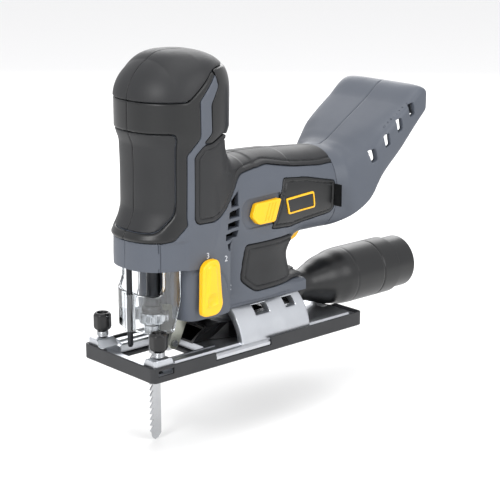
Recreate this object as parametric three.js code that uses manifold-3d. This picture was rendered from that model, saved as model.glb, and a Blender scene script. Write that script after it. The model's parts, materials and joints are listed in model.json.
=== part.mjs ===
// A cordless body-grip jigsaw, without its battery pack.
// Millimetres. X points forward to the nose, Y to the tool's left, Z up.
// The origin is the centre of the underside of the sole.
import * as THREE from 'three';
import { mergeVertices } from 'three/addons/utils/BufferGeometryUtils.js';
import Module from 'manifold-3d';

const wasm = await Module();
wasm.setup();

// ---------------------------------------------------------------- driving dimensions
const GAP = 0.3;                 // clearance between two pieces that touch

const BASE_LENGTH = 182;
const BASE_WIDTH = 72;
const SHOE_FLOOR = 2;            // plastic under the casting
const SHOE_WALL = 1.6;           // thickness of the shoe's skirt
const SKIRT_TOP = 9.3;           // height of the skirt above the sole
const RECESS_TOP = 4;            // the skirt is low beside the rails
const PLATE_TOP = 7.5;           // top of the cast plate
const WINDOW = { rear: 36, front: 76, halfWidth: 20 };   // opening the blade works in
const RECESS = { rear: -6, front: 41 };                  // low stretch of the skirt
const BLOCK = { rear: 73.4, front: 88.6, innerY: 22.4, top: 13.4 };   // fence screw blocks
const FENCE = { width: 12, bottom: 3.9, top: 7.6 };      // slot the fence rod slides in

const TILT_Z = 4;                // height of the bevel axis, which lies along X
const QUADRANT = { radius: 33, wall: 5, rear: -44, front: 16 };
const BOLT = { x: -20, radius: 2.9, headRadius: 5, headHeight: 4.6, length: 24 };
const CLAMP_PLATE = { halfAngle: 22, halfLength: 11, thickness: 3 };

const MOTOR = { x: 37.5, radius: 17, bottom: 128, top: 170, shaftRadius: 2.5 };
const TOWER_TOP = 196;
const TOWER_HALF_WIDTH = MOTOR.radius + 16.5;
const TOWER_REAR = MOTOR.x - MOTOR.radius - 4.5;   // back of the tower beside the motor
const HEAD_Z = 64;               // underside of the nose
const BELLY_Z = 30;              // underside of the gear case
const BELLY_FRONT = 56.8;
const BARREL_REAR = -74;
const WALL = 4;                  // shell with its rubber skin
const SKIN = 1.6;                // thickness of the rubber skin
const PARTING = 0.15;            // each half stops this far from the middle plane
const FOOT_HALF_WIDTH = 38;      // takes a 75 mm wide slide-on battery
const FOOT_WALL = 3.4;

const BLADE = { rear: 57.8, shank: 8, thickness: 1.2, overhang: 0.3, tip: -53, top: 40.4 };
const PLUNGER = { x: BLADE.rear + BLADE.shank / 2, radius: 4.5, endRadius: BLADE.shank / 2 + 1.6, top: 128 };
const STROKE = 26;
const CLAMP = {
  nose: 18, ringBottom: 26, ringTop: 33, collarTop: 37.4,
  ringRadius: PLUNGER.endRadius + 3.1, collarRadius: PLUNGER.endRadius + 1.6,
};
const YOKE = { z: 82.5, halfHeight: 4.6, halfWidth: 19, rear: 55.8, front: 60.5 };
const GUIDE_PIVOT_Z = 121.5;

const ROLLER = { radius: 6, width: 5.2, pinRadius: 2.2, z: 10.9 };
const ARM_PIVOT = { x: 38, z: 42 };

const PINION = { teeth: 8, root: 3, tip: 4.6, bottom: 109.5, top: 116 };
const CROWN = { teeth: 34, inner: 15.8, outer: 18.2, tip: 41.3, root: 43.6 };
const TOOTH_SHARE = 0.3;         // tooth thickness over pitch, for easy running
const DISC = { radius: 19, front: 48 };
const CRANK_PIN_RADIUS = 2.3;

const GUARD = { x: 58, radius: 22.5, wall: 1.8, bottom: 24, lip: 48, top: 64.9 };
const ROD = { x: 80.7, radius: 1.8, bottom: 13, top: 71 };
const LEVER = { x: 43.5, z: 43.5, hub: 10, reach: 26, back: 30, front: 37 };
const BUTTON = { rear: -21, front: 4.7, bottom: 83.5, top: 98.2, back: 26.2, face: 30.6, travel: 6 };
const DIAL = { x: -54, z: 68.5, radius: 9.5, halfWidth: 3 };
const NOZZLE = { z: 25, neck: 10.6, body: 20, end: 18.4, wall: 1.8, overhang: 72 };
const KNOB = { radius: 5.7, bottom: 18.4, top: 29.4, shank: 2.4, spring: 3.9 };
const SCREW = { radius: 1.5, headRadius: 3, length: 22 };

// ---------------------------------------------------------------- geometry helpers
const group = new THREE.Group();
const TAU = 2 * Math.PI;
const BIG = 400;

// Turns a closed three.js geometry into a solid for cutting and joining.
function solid(geometry) {
  const bare = geometry.clone();
  bare.deleteAttribute('normal');
  bare.deleteAttribute('uv');
  const merged = mergeVertices(bare, 1e-4);
  return new wasm.Manifold(new wasm.Mesh({
    numProp: 3,
    vertProperties: new Float32Array(merged.attributes.position.array),
    triVerts: new Uint32Array(merged.index.array),
  }));
}

function box(x0, x1, y0, y1, z0, z1) {
  const geometry = new THREE.BoxGeometry(x1 - x0, y1 - y0, z1 - z0);
  geometry.translate((x0 + x1) / 2, (y0 + y1) / 2, (z0 + z1) / 2);
  return solid(geometry);
}

// A box on one side of the middle plane, between two distances from it.
function sideBox(x0, x1, side, near, far, z0, z1) {
  return side > 0 ? box(x0, x1, near, far, z0, z1) : box(x0, x1, -far, -near, z0, z1);
}

// A straight prism: an outline of [u, v] points pushed along one axis.
function prism(axis, points, from, to, holes = []) {
  const shape = new THREE.Shape(points.map(([u, v]) => new THREE.Vector2(u, v)));
  for (const hole of holes) {
    shape.holes.push(new THREE.Path(hole.map(([u, v]) => new THREE.Vector2(u, v))));
  }
  const geometry = new THREE.ExtrudeGeometry(shape, { depth: to - from, bevelEnabled: false });
  geometry.translate(0, 0, from);
  if (axis === 'y') {            // outline in X and Z
    geometry.rotateX(Math.PI / 2);
    geometry.scale(1, -1, 1);
    flip(geometry);
  }
  if (axis === 'x') {            // outline in Y and Z
    geometry.rotateY(Math.PI / 2);
    geometry.rotateX(Math.PI / 2);
  }
  return solid(geometry);
}

function flip(geometry) {
  const p = geometry.attributes.position;
  for (let i = 0; i < p.count; i += 3) {
    const [x, y, z] = [p.getX(i), p.getY(i), p.getZ(i)];
    p.setXYZ(i, p.getX(i + 1), p.getY(i + 1), p.getZ(i + 1));
    p.setXYZ(i + 1, x, y, z);
  }
}

// A turned piece: profile points are [radius, height along the axis].
function turned(axis, profile, centre, sides = 20, phase = 0) {
  const points = profile.map(([r, h]) => new THREE.Vector2(r, h));
  if (profile[0][0] > 0) points.push(points[0].clone());
  const geometry = new THREE.LatheGeometry(points, sides, phase);
  if (axis === 'z') geometry.rotateX(Math.PI / 2);
  if (axis === 'x') geometry.rotateZ(-Math.PI / 2);
  geometry.translate(...centre);
  const made = solid(geometry);
  return made.volume() > 0 ? made : solid(turnedOver(geometry));
}

function turnedOver(geometry) {
  const plain = geometry.toNonIndexed();
  flip(plain);
  return plain;
}

function rod(axis, radius, from, to, centre, sides = 20, phase = 0) {
  return turned(axis, [[0, from], [radius, from], [radius, to], [0, to]], centre, sides, phase);
}

function tube(axis, outer, inner, from, to, centre, sides = 20) {
  return turned(axis, [[inner, from], [outer, from], [outer, to], [inner, to]], centre, sides);
}

// Closed skin through a row of rings that all have the same number of points.
function loft(rings) {
  const sides = rings[0].length;
  const positions = rings.flat(2);
  const index = [];
  for (let i = 0; i + 1 < rings.length; i++) {
    for (let j = 0; j < sides; j++) {
      const [a, b] = [i * sides + j, i * sides + (j + 1) % sides];
      index.push(a, b, b + sides, a, b + sides, a + sides);
    }
  }
  for (let j = 1; j + 1 < sides; j++) {
    const last = (rings.length - 1) * sides;
    index.push(0, j + 1, j, last, last + j, last + j + 1);
  }
  const geometry = new THREE.BufferGeometry();
  geometry.setAttribute('position', new THREE.Float32BufferAttribute(positions, 3));
  geometry.setIndex(index);
  const made = solid(geometry);
  return made.volume() > 0 ? made : solid(turnedOver(geometry));
}

// Superellipse: squareness 2 is an ellipse, more is squarer.
function ringPoint(angle, a, b, squareness) {
  const [c, s] = [Math.cos(angle), Math.sin(angle)];
  const power = 2 / squareness;
  return [a * Math.sign(c) * Math.abs(c) ** power, b * Math.sign(s) * Math.abs(s) ** power];
}

// Level section at height z: stations are [z, rear x, front x, half width, squareness].
function levelLoft(stations, inset = 0, sides = 18) {
  return loft(stations.map(([z, rear, front, halfWidth, squareness], k) => {
    const end = k === stations.length - 1 ? inset : 0;
    return Array.from({ length: sides }, (_, j) => {
      const a = (front - rear) / 2 - inset;
      const [u, v] = ringPoint((j + 0.5) * TAU / sides, a, halfWidth - inset, squareness);
      return [(front + rear) / 2 + u, v, z - end];
    });
  }));
}

// Upright section at a distance x: stations are [x, bottom z, top z, half width, squareness].
function uprightLoft(stations, inset = 0, sides = 18) {
  return loft(stations.map(([x, bottom, top, halfWidth, squareness]) => (
    Array.from({ length: sides }, (_, j) => {
      const b = (top - bottom) / 2 - inset;
      const [u, v] = ringPoint((j + 0.5) * TAU / sides, halfWidth - inset, b, squareness);
      return [x, u, (top + bottom) / 2 + v];
    }))));
}

const union = (...parts) => parts.reduce((sum, part) => sum.add(part));
const cut = (body, ...tools) => tools.reduce((rest, tool) => rest.subtract(tool), body);
const mirrored = (body) => body.mirror([0, 1, 0]);
const leftHalf = (body) => body.intersect(box(-BIG, BIG, PARTING, BIG, -BIG, BIG));

// Rounded outline: each corner of the polygon becomes an arc of the given radius.
function rounded(points, radius, steps = 3) {
  return points.flatMap((corner, i) => {
    const before = points[(i + points.length - 1) % points.length];
    const after = points[(i + 1) % points.length];
    const toward = (other) => {
      const [dx, dz] = [other[0] - corner[0], other[1] - corner[1]];
      const length = Math.hypot(dx, dz);
      const reach = Math.min(radius, length * 0.45) / length;
      return [corner[0] + dx * reach, corner[1] + dz * reach];
    };
    const [start, end] = [toward(before), toward(after)];
    return Array.from({ length: steps + 1 }, (_, k) => {
      const t = k / steps;
      return [0, 1].map((n) => (
        (1 - t) ** 2 * start[n] + 2 * t * (1 - t) * corner[n] + t * t * end[n]));
    });
  });
}

// Moves every edge of a convex-ish outline outwards by a distance.
function grown(points, distance) {
  const area = points.reduce((sum, [x, z], i) => {
    const [nx, nz] = points[(i + 1) % points.length];
    return sum + x * nz - nx * z;
  }, 0);
  const side = Math.sign(area) * distance;
  return points.map(([x, z], i) => {
    const [px, pz] = points[(i + points.length - 1) % points.length];
    const [nx, nz] = points[(i + 1) % points.length];
    const [l0, l1] = [Math.hypot(x - px, z - pz), Math.hypot(nx - x, nz - z)];
    const n0 = [(z - pz) / l0, -(x - px) / l0];
    const n1 = [(nz - z) / l1, -(nx - x) / l1];
    const scale = side / (1 + n0[0] * n1[0] + n0[1] * n1[1]);
    return [x + (n0[0] + n1[0]) * scale, z + (n0[1] + n1[1]) * scale];
  });
}

// Indices of the triangles, without shells thinner than rounding that a cut can leave.
function withoutSlivers(positions, triangles) {
  const owner = Array.from({ length: positions.length / 3 }, (_, i) => i);
  const root = (i) => {
    let at = i;
    while (owner[at] !== at) at = owner[at] = owner[owner[at]];
    return at;
  };
  for (let t = 0; t < triangles.length; t += 3) {
    owner[root(triangles[t + 1])] = root(triangles[t]);
    owner[root(triangles[t + 2])] = root(triangles[t]);
  }
  const volumes = new Map();
  const corner = (i) => new THREE.Vector3().fromArray(positions, i * 3);
  for (let t = 0; t < triangles.length; t += 3) {
    const [a, b, c] = [0, 1, 2].map((n) => corner(triangles[t + n]));
    const key = root(triangles[t]);
    volumes.set(key, (volumes.get(key) ?? 0) + a.dot(b.cross(c)) / 6);
  }
  return triangles.filter((_, i) => (
    Math.abs(volumes.get(root(triangles[i - (i % 3)]))) > 0.01));
}

function finish(name, body, material) {
  const mesh = body.getMesh();
  const geometry = new THREE.BufferGeometry();
  const stride = mesh.numProp;
  const positions = new Float32Array((mesh.vertProperties.length / stride) * 3);
  for (let i = 0; i < positions.length / 3; i++) {
    positions.set(mesh.vertProperties.subarray(i * stride, i * stride + 3), i * 3);
  }
  geometry.setAttribute('position', new THREE.BufferAttribute(positions, 3));
  geometry.setIndex(new THREE.BufferAttribute(withoutSlivers(positions, mesh.triVerts), 1));
  geometry.computeVertexNormals();
  const made = new THREE.Mesh(geometry, material);
  made.name = name;
  group.add(made);
}

function finishPair(name, left, material) {
  finish(`${name}_left`, left, material);
  finish(`${name}_right`, mirrored(left), material);
}

// ---------------------------------------------------------------- materials
const paint = (color, roughness, metalness = 0) => (
  new THREE.MeshStandardMaterial({ color, roughness, metalness }));
const GREY_SHELL = paint(0x4b5058, 0.55);
const BLACK_RUBBER = paint(0x1f2022, 0.8);
const BLACK_PLASTIC = paint(0x18181a, 0.5);
const YELLOW_PLASTIC = paint(0xffcf1a, 0.4);
const CAST_ALUMINIUM = paint(0xc3c8cc, 0.4, 0.8);
const SHOE_PLASTIC = paint(0x2a2a2b, 0.7);
const BRIGHT_STEEL = paint(0xa6a29c, 0.3, 1);
const ZINC_STEEL = paint(0xc6ccce, 0.35, 1);
const COPPER = paint(0xb8733a, 0.4, 1);
const BRASS = paint(0xb59a4c, 0.4, 1);
const CLEAR = new THREE.MeshStandardMaterial({
  color: 0xe8eef0, roughness: 0.1, transparent: true, opacity: 0.35 });

// ---------------------------------------------------------------- outside of the body
const TOWER = [
  [HEAD_Z, TOWER_REAR + 2, 84.6, TOWER_HALF_WIDTH - 3.5, 2.5],
  [HEAD_Z + 21, TOWER_REAR - 2, 84.4, TOWER_HALF_WIDTH - 2.5, 2.4],
  [HEAD_Z + 36, TOWER_REAR - 3, 77.4, TOWER_HALF_WIDTH - 1.2, 2.3],
  [TOWER_TOP - 56, TOWER_REAR, 76.6, TOWER_HALF_WIDTH - 0.8, 2.3],
  [TOWER_TOP - 46, TOWER_REAR - 5.5, 80.4, TOWER_HALF_WIDTH, 2.3],
  [TOWER_TOP - 28.5, TOWER_REAR - 5.5, 80, TOWER_HALF_WIDTH, 2.3],
  [TOWER_TOP - 16, TOWER_REAR - 4.5, 76, TOWER_HALF_WIDTH - 1.5, 2.2],
  [TOWER_TOP - 7, 15.5, 68, TOWER_HALF_WIDTH - 6, 2.1],
  [TOWER_TOP - 2, 22, 58, TOWER_HALF_WIDTH - 13.5, 2],
  [TOWER_TOP, 30, 47, TOWER_HALF_WIDTH - 24, 2],
];
const BELLY = [
  [BELLY_Z, 18, BELLY_FRONT, 28, 5],
  [HEAD_Z, 14, BELLY_FRONT, 29.5, 5],
  [HEAD_Z + 22, 14, BELLY_FRONT + 2, 29.5, 4],
];
const NECK = [
  [34, -48, 30, 25, 2.6],
  [46, -44, 30, 24, 2.6],
  [56, -42, 30, 24, 2.6],
  [68, -46, 30, 25, 2.6],
  [90, -48, 30, 25, 2.6],
];
const BARREL = [
  [24, 68, 126, 28.5, 2.4],
  [0, 67, 125.8, 28, 2.5],
  [-22, 66.8, 125, 27.5, 2.5],
  [-44, 66.2, 124, 26.8, 2.4],
  [BARREL_REAR, 65.6, 121.6, 26, 2.3],
];

// The flange that sits on the quadrant: a strip of ring along X.
function saddleFlange(inset) {
  const steps = 10;
  const [inner, outer] = [QUADRANT.radius - 2, QUADRANT.radius + 5.4 - inset];
  const arc = (radius, from, to) => Array.from({ length: steps + 1 }, (_, k) => {
    const angle = from + (to - from) * k / steps;
    return [radius * Math.cos(angle), TILT_Z + radius * Math.sin(angle)];
  });
  const [low, high] = [56 * Math.PI / 180, 124 * Math.PI / 180];
  const rear = QUADRANT.rear - 7 + inset;
  return prism('x', [...arc(outer, low, high), ...arc(inner, high, low)], rear, 22 - inset);
}

function bodyShape(inset) {
  return union(
    levelLoft(TOWER, inset), levelLoft(BELLY, inset, 16),
    levelLoft(NECK, inset, 16), uprightLoft(BARREL, inset), saddleFlange(inset));
}

const quadrantRoom = rod('x', (QUADRANT.radius + GAP) / Math.cos(Math.PI / 48),
  -BIG / 2, QUADRANT.front + 1.2, [0, 0, TILT_Z], 48);
const bodyOuter = cut(bodyShape(0), quadrantRoom);
const bodyUnderSkin = cut(bodyShape(SKIN), quadrantRoom);
const bodyUnderGap = cut(bodyShape(SKIN + GAP), quadrantRoom);

// Inside of the shells: the same forms, one wall smaller.
const floorOf = (body, z) => body.intersect(box(-BIG, BIG, -BIG, BIG, z, BIG));
const quadrantWall = rod('x', QUADRANT.radius + WALL, -BIG / 2, QUADRANT.front + 4, [0, 0, TILT_Z], 48);
const bodyInner = union(
  floorOf(levelLoft(TOWER, WALL), HEAD_Z + 3),
  floorOf(levelLoft(BELLY, WALL, 16), BELLY_Z + 3)
    .intersect(box(-BIG, BELLY_FRONT - 8.8, -BIG, BIG, -BIG, BIG)),
  cut(levelLoft(NECK, WALL, 16), quadrantWall),
  uprightLoft([...BARREL.slice(0, -1), [BARREL_REAR - 5, ...BARREL.at(-1).slice(1)]], WALL));

// ---------------------------------------------------------------- rubber skins and panels
// Side outlines, in X and Z. Each is set into the left and the right shell.
const SKINS = {
  cap: [[90, 168.2], [58, 168.2], [50, 171], [33, 185.5], [26, 187], [-20, 187], [-20, 230], [90, 230]],
  palm_panel: [[90, 88.5], [76, 88.5], [66, 99], [64.5, 106], [64.5, 145], [62, 149.6], [90, 149.6]],
  rear_grip: [[52, 136], [44.5, 122], [44.5, 96], [41.5, 91.5], [27, 92.5], [20, 99], [12, 113],
    [7.5, 116.5], [-15, 119.5], [-38, 114.5], [-66, 112.5], [-71, 112.5], [-71, 140], [4, 140],
    [30, 148], [46, 148]],
  saddle_grip: [[6.5, 71], [9.5, 47], [-2, 38.6], [-70, 38.6], [-70, 60], [-36, 71.5]],
  badge_panel: [[-26, 109.4], [-24.3, 82], [-20.5, 78.4], [-34, 76.8], [-69, 80.5], [-69, 101.5], [-46, 107.8]],
};

function regionOf(outline, distance = 0) {
  return prism('y', rounded(grown(outline, distance), 4, 2), -1, BIG / 4);
}

const pockets = [];
const skins = {};
for (const [name, outline] of Object.entries(SKINS)) {
  skins[name] = leftHalf(cut(bodyOuter.intersect(regionOf(outline, -GAP)), bodyUnderSkin));
  pockets.push(cut(regionOf(outline), bodyUnderGap));
}

// ---------------------------------------------------------------- openings in the shells
const ventOutline = (k) => {
  const z = 72.5 + k * 6.6;
  const rise = [0, 0.6, 1.2, 2.2, 4.4][k];
  return [[13.5 + k * 0.6, z], [24.5 - k * 1.1, z - 0.4], [25.5 - k * 1.5, z + 3.2], [12.5 + k * 0.4, z + 3.8 + rise]];
};
const sideVents = Array.from({ length: 5 }, (_, k) => prism('y', ventOutline(k), 16, 45));
const rearVents = Array.from({ length: 5 }, (_, k) => (
  box(0, 24, 5, 17, TOWER_TOP - 43 + k * 6, TOWER_TOP - 40.4 + k * 6)));

const buttonRoom = prism('y', rounded([
  [BUTTON.rear - 1.6, BUTTON.bottom - 1.4], [BUTTON.front + 1, BUTTON.bottom - 1.6],
  [BUTTON.front + BUTTON.travel + 1.2, BUTTON.bottom + 6.5], [BUTTON.front + 4, BUTTON.top + 1.6],
  [BUTTON.rear - 1, BUTTON.top + 2.2]], 2), BUTTON.back - GAP, 45);
const STEM = { rear: -15, front: -7, bottom: 88.5, top: 93.5, end: 13 };
const stemSlot = box(STEM.rear - 0.5, STEM.front + BUTTON.travel + 0.8, 12, 40,
  STEM.bottom - 0.4, STEM.top + 0.4);
const leverBore = rod('y', 4.4, 10, 40, [LEVER.x, 0, LEVER.z], 16);
const guardSlots = box(GUARD.x - 0.9, GUARD.x + 12.4, GUARD.radius - GUARD.wall - GAP,
  GUARD.radius + GAP, HEAD_Z - 1, HEAD_Z + 18);
const plungerMouth = union(rod('z', CLAMP.collarRadius + 1, HEAD_Z - 1, HEAD_Z + 4, [PLUNGER.x, 0, 0], 24),
  rod('z', CLAMP.collarRadius + 1, HEAD_Z - 1, HEAD_Z + 4, [PLUNGER.x + 2, 0, 0], 24));
const frontChannel = box(PLUNGER.x - CLAMP.ringRadius - 3, BELLY_FRONT + 4, -11, 11, BELLY_Z - 1, HEAD_Z);
const armMouth = box(ARM_PIVOT.x - 2, BELLY_FRONT, -8.8, 8.8, BELLY_Z - 1, BELLY_Z + 4);
const dialMouth = box(DIAL.x - DIAL.radius - 1, DIAL.x + DIAL.radius + 1,
  -DIAL.halfWidth - 0.6, DIAL.halfWidth + 0.6, DIAL.z - DIAL.radius - 2, DIAL.z + DIAL.radius);
const rodBore = rod('z', ROD.radius + GAP, HEAD_Z - 1, ROD.top + 0.6, [ROD.x, 0, 0], 12);
const boltBore = rod('z', BOLT.radius + GAP, QUADRANT.radius, 60, [BOLT.x, 0, 0], 16);

// ---------------------------------------------------------------- ribs and bosses inside
const slab = (z0, z1, x1 = BIG) => box(0, x1, -BIG, BIG, z0, z1);
const motorBore = (radius) => rod('z', radius, 100, 190, [MOTOR.x, 0, 0], 32);
const plungerRoom = box(PLUNGER.x - 10, BIG, -16, 16, HEAD_Z + 3, 165);
const BEARING = { radius: 8, height: 4, lower: 117.3, upper: 171.6 };
const seatRib = (bearing) => cut(slab(bearing + 0.6, bearing + BEARING.height - 0.6, 51),
  motorBore(BEARING.radius + GAP));
const motorRibs = [MOTOR.bottom + 5, MOTOR.top - 8].map((z) => (
  cut(slab(z, z + 2), motorBore(MOTOR.radius + GAP), plungerRoom)));
const airHoles = [[16, 10], [16, -10], [37.5, 24], [37.5, -24]].map(([x, y]) => (
  rod('z', 3.4, 100, 185, [x + 4, y, 0], 10)));

const TRUNNION = { radius: 2.5, reach: 17 };
const ARM_PIN = { radius: 2.3, reach: 11.3 };
const GEAR_PLATE = { rear: 27, front: 30, halfWidth: 19.5, bottom: 74, top: 106 };
const plateEdge = (distance) => box(GEAR_PLATE.rear - distance, GEAR_PLATE.front + distance,
  -GEAR_PLATE.halfWidth - distance, GEAR_PLATE.halfWidth + distance,
  GEAR_PLATE.bottom - distance, GEAR_PLATE.top + distance);
const plateHolders = [1, -1].map((side) => cut(
  sideBox(GEAR_PLATE.rear - 3, GEAR_PLATE.front + 3, side, 16.5, 40, GEAR_PLATE.bottom, GEAR_PLATE.top),
  plateEdge(GAP)));

const pivotBosses = [1, -1].map((side) => cut(
  rod('y', 5.5, side > 0 ? 12 : -40, side > 0 ? 40 : -12, [PLUNGER.x, 0, GUIDE_PIVOT_Z], 16),
  rod('y', TRUNNION.radius + GAP, -18, 18, [PLUNGER.x, 0, GUIDE_PIVOT_Z], 16)));
const armEars = [1, -1].map((side) => cut(
  sideBox(ARM_PIVOT.x - 5, ARM_PIVOT.x + 5, side, 9.4, 12.4, BELLY_Z + 2, ARM_PIVOT.z + 5),
  rod('y', ARM_PIN.radius + GAP, -11.8, 11.8, [ARM_PIVOT.x, 0, ARM_PIVOT.z], 16)));
const dialBore = rod('y', 1.5 + GAP, -6.8, 6.8, [DIAL.x, 0, DIAL.z], 12);
const dialEars = [1, -1].map((side) => cut(
  sideBox(DIAL.x - 3.5, DIAL.x + 3.5, side, 3.9, 7.5, DIAL.z - 4, DIAL.z + 4.5),
  dialBore));
const boltBoss = rod('z', 7, QUADRANT.radius + TILT_Z + 0.6, 52, [BOLT.x, 0, 0], 16);
const rodBoss = rod('z', 4, HEAD_Z + 1, ROD.top + 2, [ROD.x, 0, 0], 12);

// ---------------------------------------------------------------- case screws
// Each goes in from the right side, through a boss, into the left shell.
const SCREW_PLACES = [[40, TOWER_TOP - 12], [-66, 76]];
const FOOT_SCREW = [-92, 86];
const screwBoss = ([x, z]) => rod('y', 4.6, -45, 45, [x, 0, z], 12);
const screwBore = ([x, z]) => union(
  rod('y', SCREW.radius + GAP, -30, 10, [x, 0, z], 10),
  rod('y', SCREW.headRadius + GAP, -45, -15, [x, 0, z], 12));
const screwBody = ([x, z]) => turned('y', [[0, -17.4], [SCREW.headRadius, -17.4],
  [SCREW.headRadius, -15.4], [SCREW.radius, -15.2], [SCREW.radius, SCREW.length - 15.4],
  [0, SCREW.length - 14.4]], [x, 0, z], 12);

// ---------------------------------------------------------------- shells
const cavity = cut(bodyInner, ...motorRibs.map((rib) => cut(rib, ...airHoles)),
  seatRib(BEARING.lower), seatRib(BEARING.upper), ...plateHolders, ...pivotBosses, ...armEars,
  ...dialEars, boltBoss, rodBoss, ...SCREW_PLACES.map(screwBoss));
const leftShell = leftHalf(cut(bodyOuter, cavity, ...pockets, ...rearVents, ...sideVents, buttonRoom,
  stemSlot, guardSlots, plungerMouth, frontChannel, armMouth, dialMouth,
  dialBore, rodBore, boltBore));
const screwBores = SCREW_PLACES.map(screwBore);
finish('housing_left', cut(leftShell, leverBore, ...screwBores), GREY_SHELL);
finish('housing_right', cut(mirrored(leftShell), ...screwBores), GREY_SHELL);
const headRoom = union(...SCREW_PLACES.map(([x, z]) => (
  rod('y', SCREW.headRadius + GAP, -45, -15, [x, 0, z], 12))));
for (const [name, body] of Object.entries(skins)) {
  const material = name === 'badge_panel' ? BLACK_PLASTIC : BLACK_RUBBER;
  const opened = cut(body, ...rearVents, dialMouth);
  finish(`${name}_left`, opened, material);
  finish(`${name}_right`, cut(mirrored(opened), headRoom), material);
}
SCREW_PLACES.forEach((place, k) => finish(`case_screw_${k + 1}`, screwBody(place), BRIGHT_STEEL));

// ---------------------------------------------------------------- battery foot
// Upright sections: [x, bottom, top, half width, squareness]. The lower rear face takes the battery.
const FACE = { front: [-107, 95.5], rear: [-150, 141] };
const faceSlope = (FACE.rear[1] - FACE.front[1]) / (FACE.rear[0] - FACE.front[0]);
const faceZ = (x) => FACE.front[1] + (x - FACE.front[0]) * faceSlope;
const FOOT = [
  [BARREL_REAR - GAP, 65.6, 121.6, 26, 2.3],
  [BARREL_REAR - 8, 65.9, 121.2, 28.5, 2.5],
  [BARREL_REAR - 14, 67.5, 123, 32, 3],
  [BARREL_REAR - 22, 73.5, 127.8, FOOT_HALF_WIDTH - 2.6, 3.8],
  [BARREL_REAR - 33, faceZ(BARREL_REAR - 33), 134.8, FOOT_HALF_WIDTH - 0.5, 5],
  [BARREL_REAR - 52, faceZ(BARREL_REAR - 52), 146.8, FOOT_HALF_WIDTH, 6],
  [BARREL_REAR - 71, faceZ(BARREL_REAR - 71), 158.6, FOOT_HALF_WIDTH, 6],
  [BARREL_REAR - 76, faceZ(BARREL_REAR - 76), 157, FOOT_HALF_WIDTH - 0.8, 6],
];
const footOuter = uprightLoft(FOOT, 0, 24);
const opened = FOOT.slice(4, -1).map(([x, bottom, top, halfWidth, squareness]) => (
  [x, bottom - 24, top, halfWidth, squareness]));
const lastOpened = [FOOT.at(-1)[0] + FOOT_WALL, ...opened.at(-1).slice(1)];
const footInner = union(
  uprightLoft([[BARREL_REAR + 3, ...FOOT[0].slice(1)], ...FOOT.slice(1, 5)], FOOT_WALL, 24),
  uprightLoft([[opened[0][0] - 3, ...opened[0].slice(1)], opened[1], lastOpened], FOOT_WALL, 24));
const slots = Array.from({ length: 4 }, (_, k) => {
  const [x, z] = [-97.5 - k * 11.4, 111 + k * 9.2];
  return prism('y', [[x, z], [x - 4.6, z + 1.6], [x - 3, z + 9.6], [x + 1.6, z + 8]], -60, 60);
});
// Rails that the battery's grooves slide along, inside the open face.
const railOutline = [[-112, faceZ(-112) + 1.5], [-112, faceZ(-112) + 5.5], [-144, faceZ(-144) + 5.5],
  [-144, faceZ(-144) + 1.5]];
const rails = [1, -1].map((side) => prism('y', railOutline,
  side > 0 ? FOOT_HALF_WIDTH - 7.5 : -FOOT_HALF_WIDTH + 1, side > 0 ? FOOT_HALF_WIDTH - 1 : 7.5 - FOOT_HALF_WIDTH));
// Along the face and into the foot, from its front corner.
const faceTurn = Math.atan2(FACE.rear[1] - FACE.front[1], FACE.front[0] - FACE.rear[0]);
const onFace = (along, depth) => [
  FACE.front[0] - along * Math.cos(faceTurn) + depth * Math.sin(faceTurn),
  FACE.front[1] + along * Math.sin(faceTurn) + depth * Math.cos(faceTurn)];
const faceBar = (a0, a1, d0, d1, y0, y1) => prism('y',
  [onFace(a0, d0), onFace(a1, d0), onFace(a1, d1), onFace(a0, d1)], y0, y1);
const TERMINAL = { from: 22, to: 44, back: 13 };
const blockShelf = cut(faceBar(TERMINAL.from - 2, TERMINAL.to + 2, TERMINAL.back + GAP, TERMINAL.back + 3, -60, 60),
  faceBar(0, 60, TERMINAL.back - 2, TERMINAL.back + 5, -7, 7));
const footCavity = cut(footInner, ...rails, blockShelf, screwBoss(FOOT_SCREW));
const footShell = leftHalf(cut(footOuter, footCavity, ...slots));
finish('foot_left', cut(footShell, screwBore(FOOT_SCREW)), GREY_SHELL);
finish('foot_right', cut(mirrored(footShell), screwBore(FOOT_SCREW)), GREY_SHELL);
finish('case_screw_foot', screwBody(FOOT_SCREW), BRIGHT_STEEL);
finish('terminal_block', faceBar(TERMINAL.from, TERMINAL.to, 4, TERMINAL.back, -17, 17), BLACK_PLASTIC);
const blades = [TERMINAL.from + 4, TERMINAL.from + 16];
finish('battery_contacts', union(faceBar(...blades, 2.7, 3.7, -12, 12),
  ...[-10.5, -3.5, 3.5, 10.5].map((y) => faceBar(...blades, 0.2, 3.2, y - 0.5, y + 0.5))), BRASS);

// ---------------------------------------------------------------- motor
const shaftBore = MOTOR.shaftRadius + GAP;
finish('motor_can', turned('z', [
  [shaftBore + 1.5, MOTOR.bottom], [MOTOR.radius, MOTOR.bottom], [MOTOR.radius, MOTOR.top],
  [shaftBore + 1.5, MOTOR.top], [shaftBore + 1.5, MOTOR.top - 1.6], [MOTOR.radius - 1.6, MOTOR.top - 1.6],
  [MOTOR.radius - 1.6, MOTOR.bottom + 1.6], [shaftBore + 1.5, MOTOR.bottom + 1.6]],
  [MOTOR.x, 0, 0], 24), BRIGHT_STEEL);
finish('armature', tube('z', MOTOR.radius - 4, shaftBore, MOTOR.bottom + 4, MOTOR.top - 8,
  [MOTOR.x, 0, 0], 24), COPPER);
const bearing = (from) => tube('z', BEARING.radius, shaftBore, from, from + BEARING.height, [MOTOR.x, 0, 0], 20);
finish('bearing_lower', bearing(BEARING.lower), BRIGHT_STEEL);
finish('bearing_upper', bearing(BEARING.upper), BRIGHT_STEEL);

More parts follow.
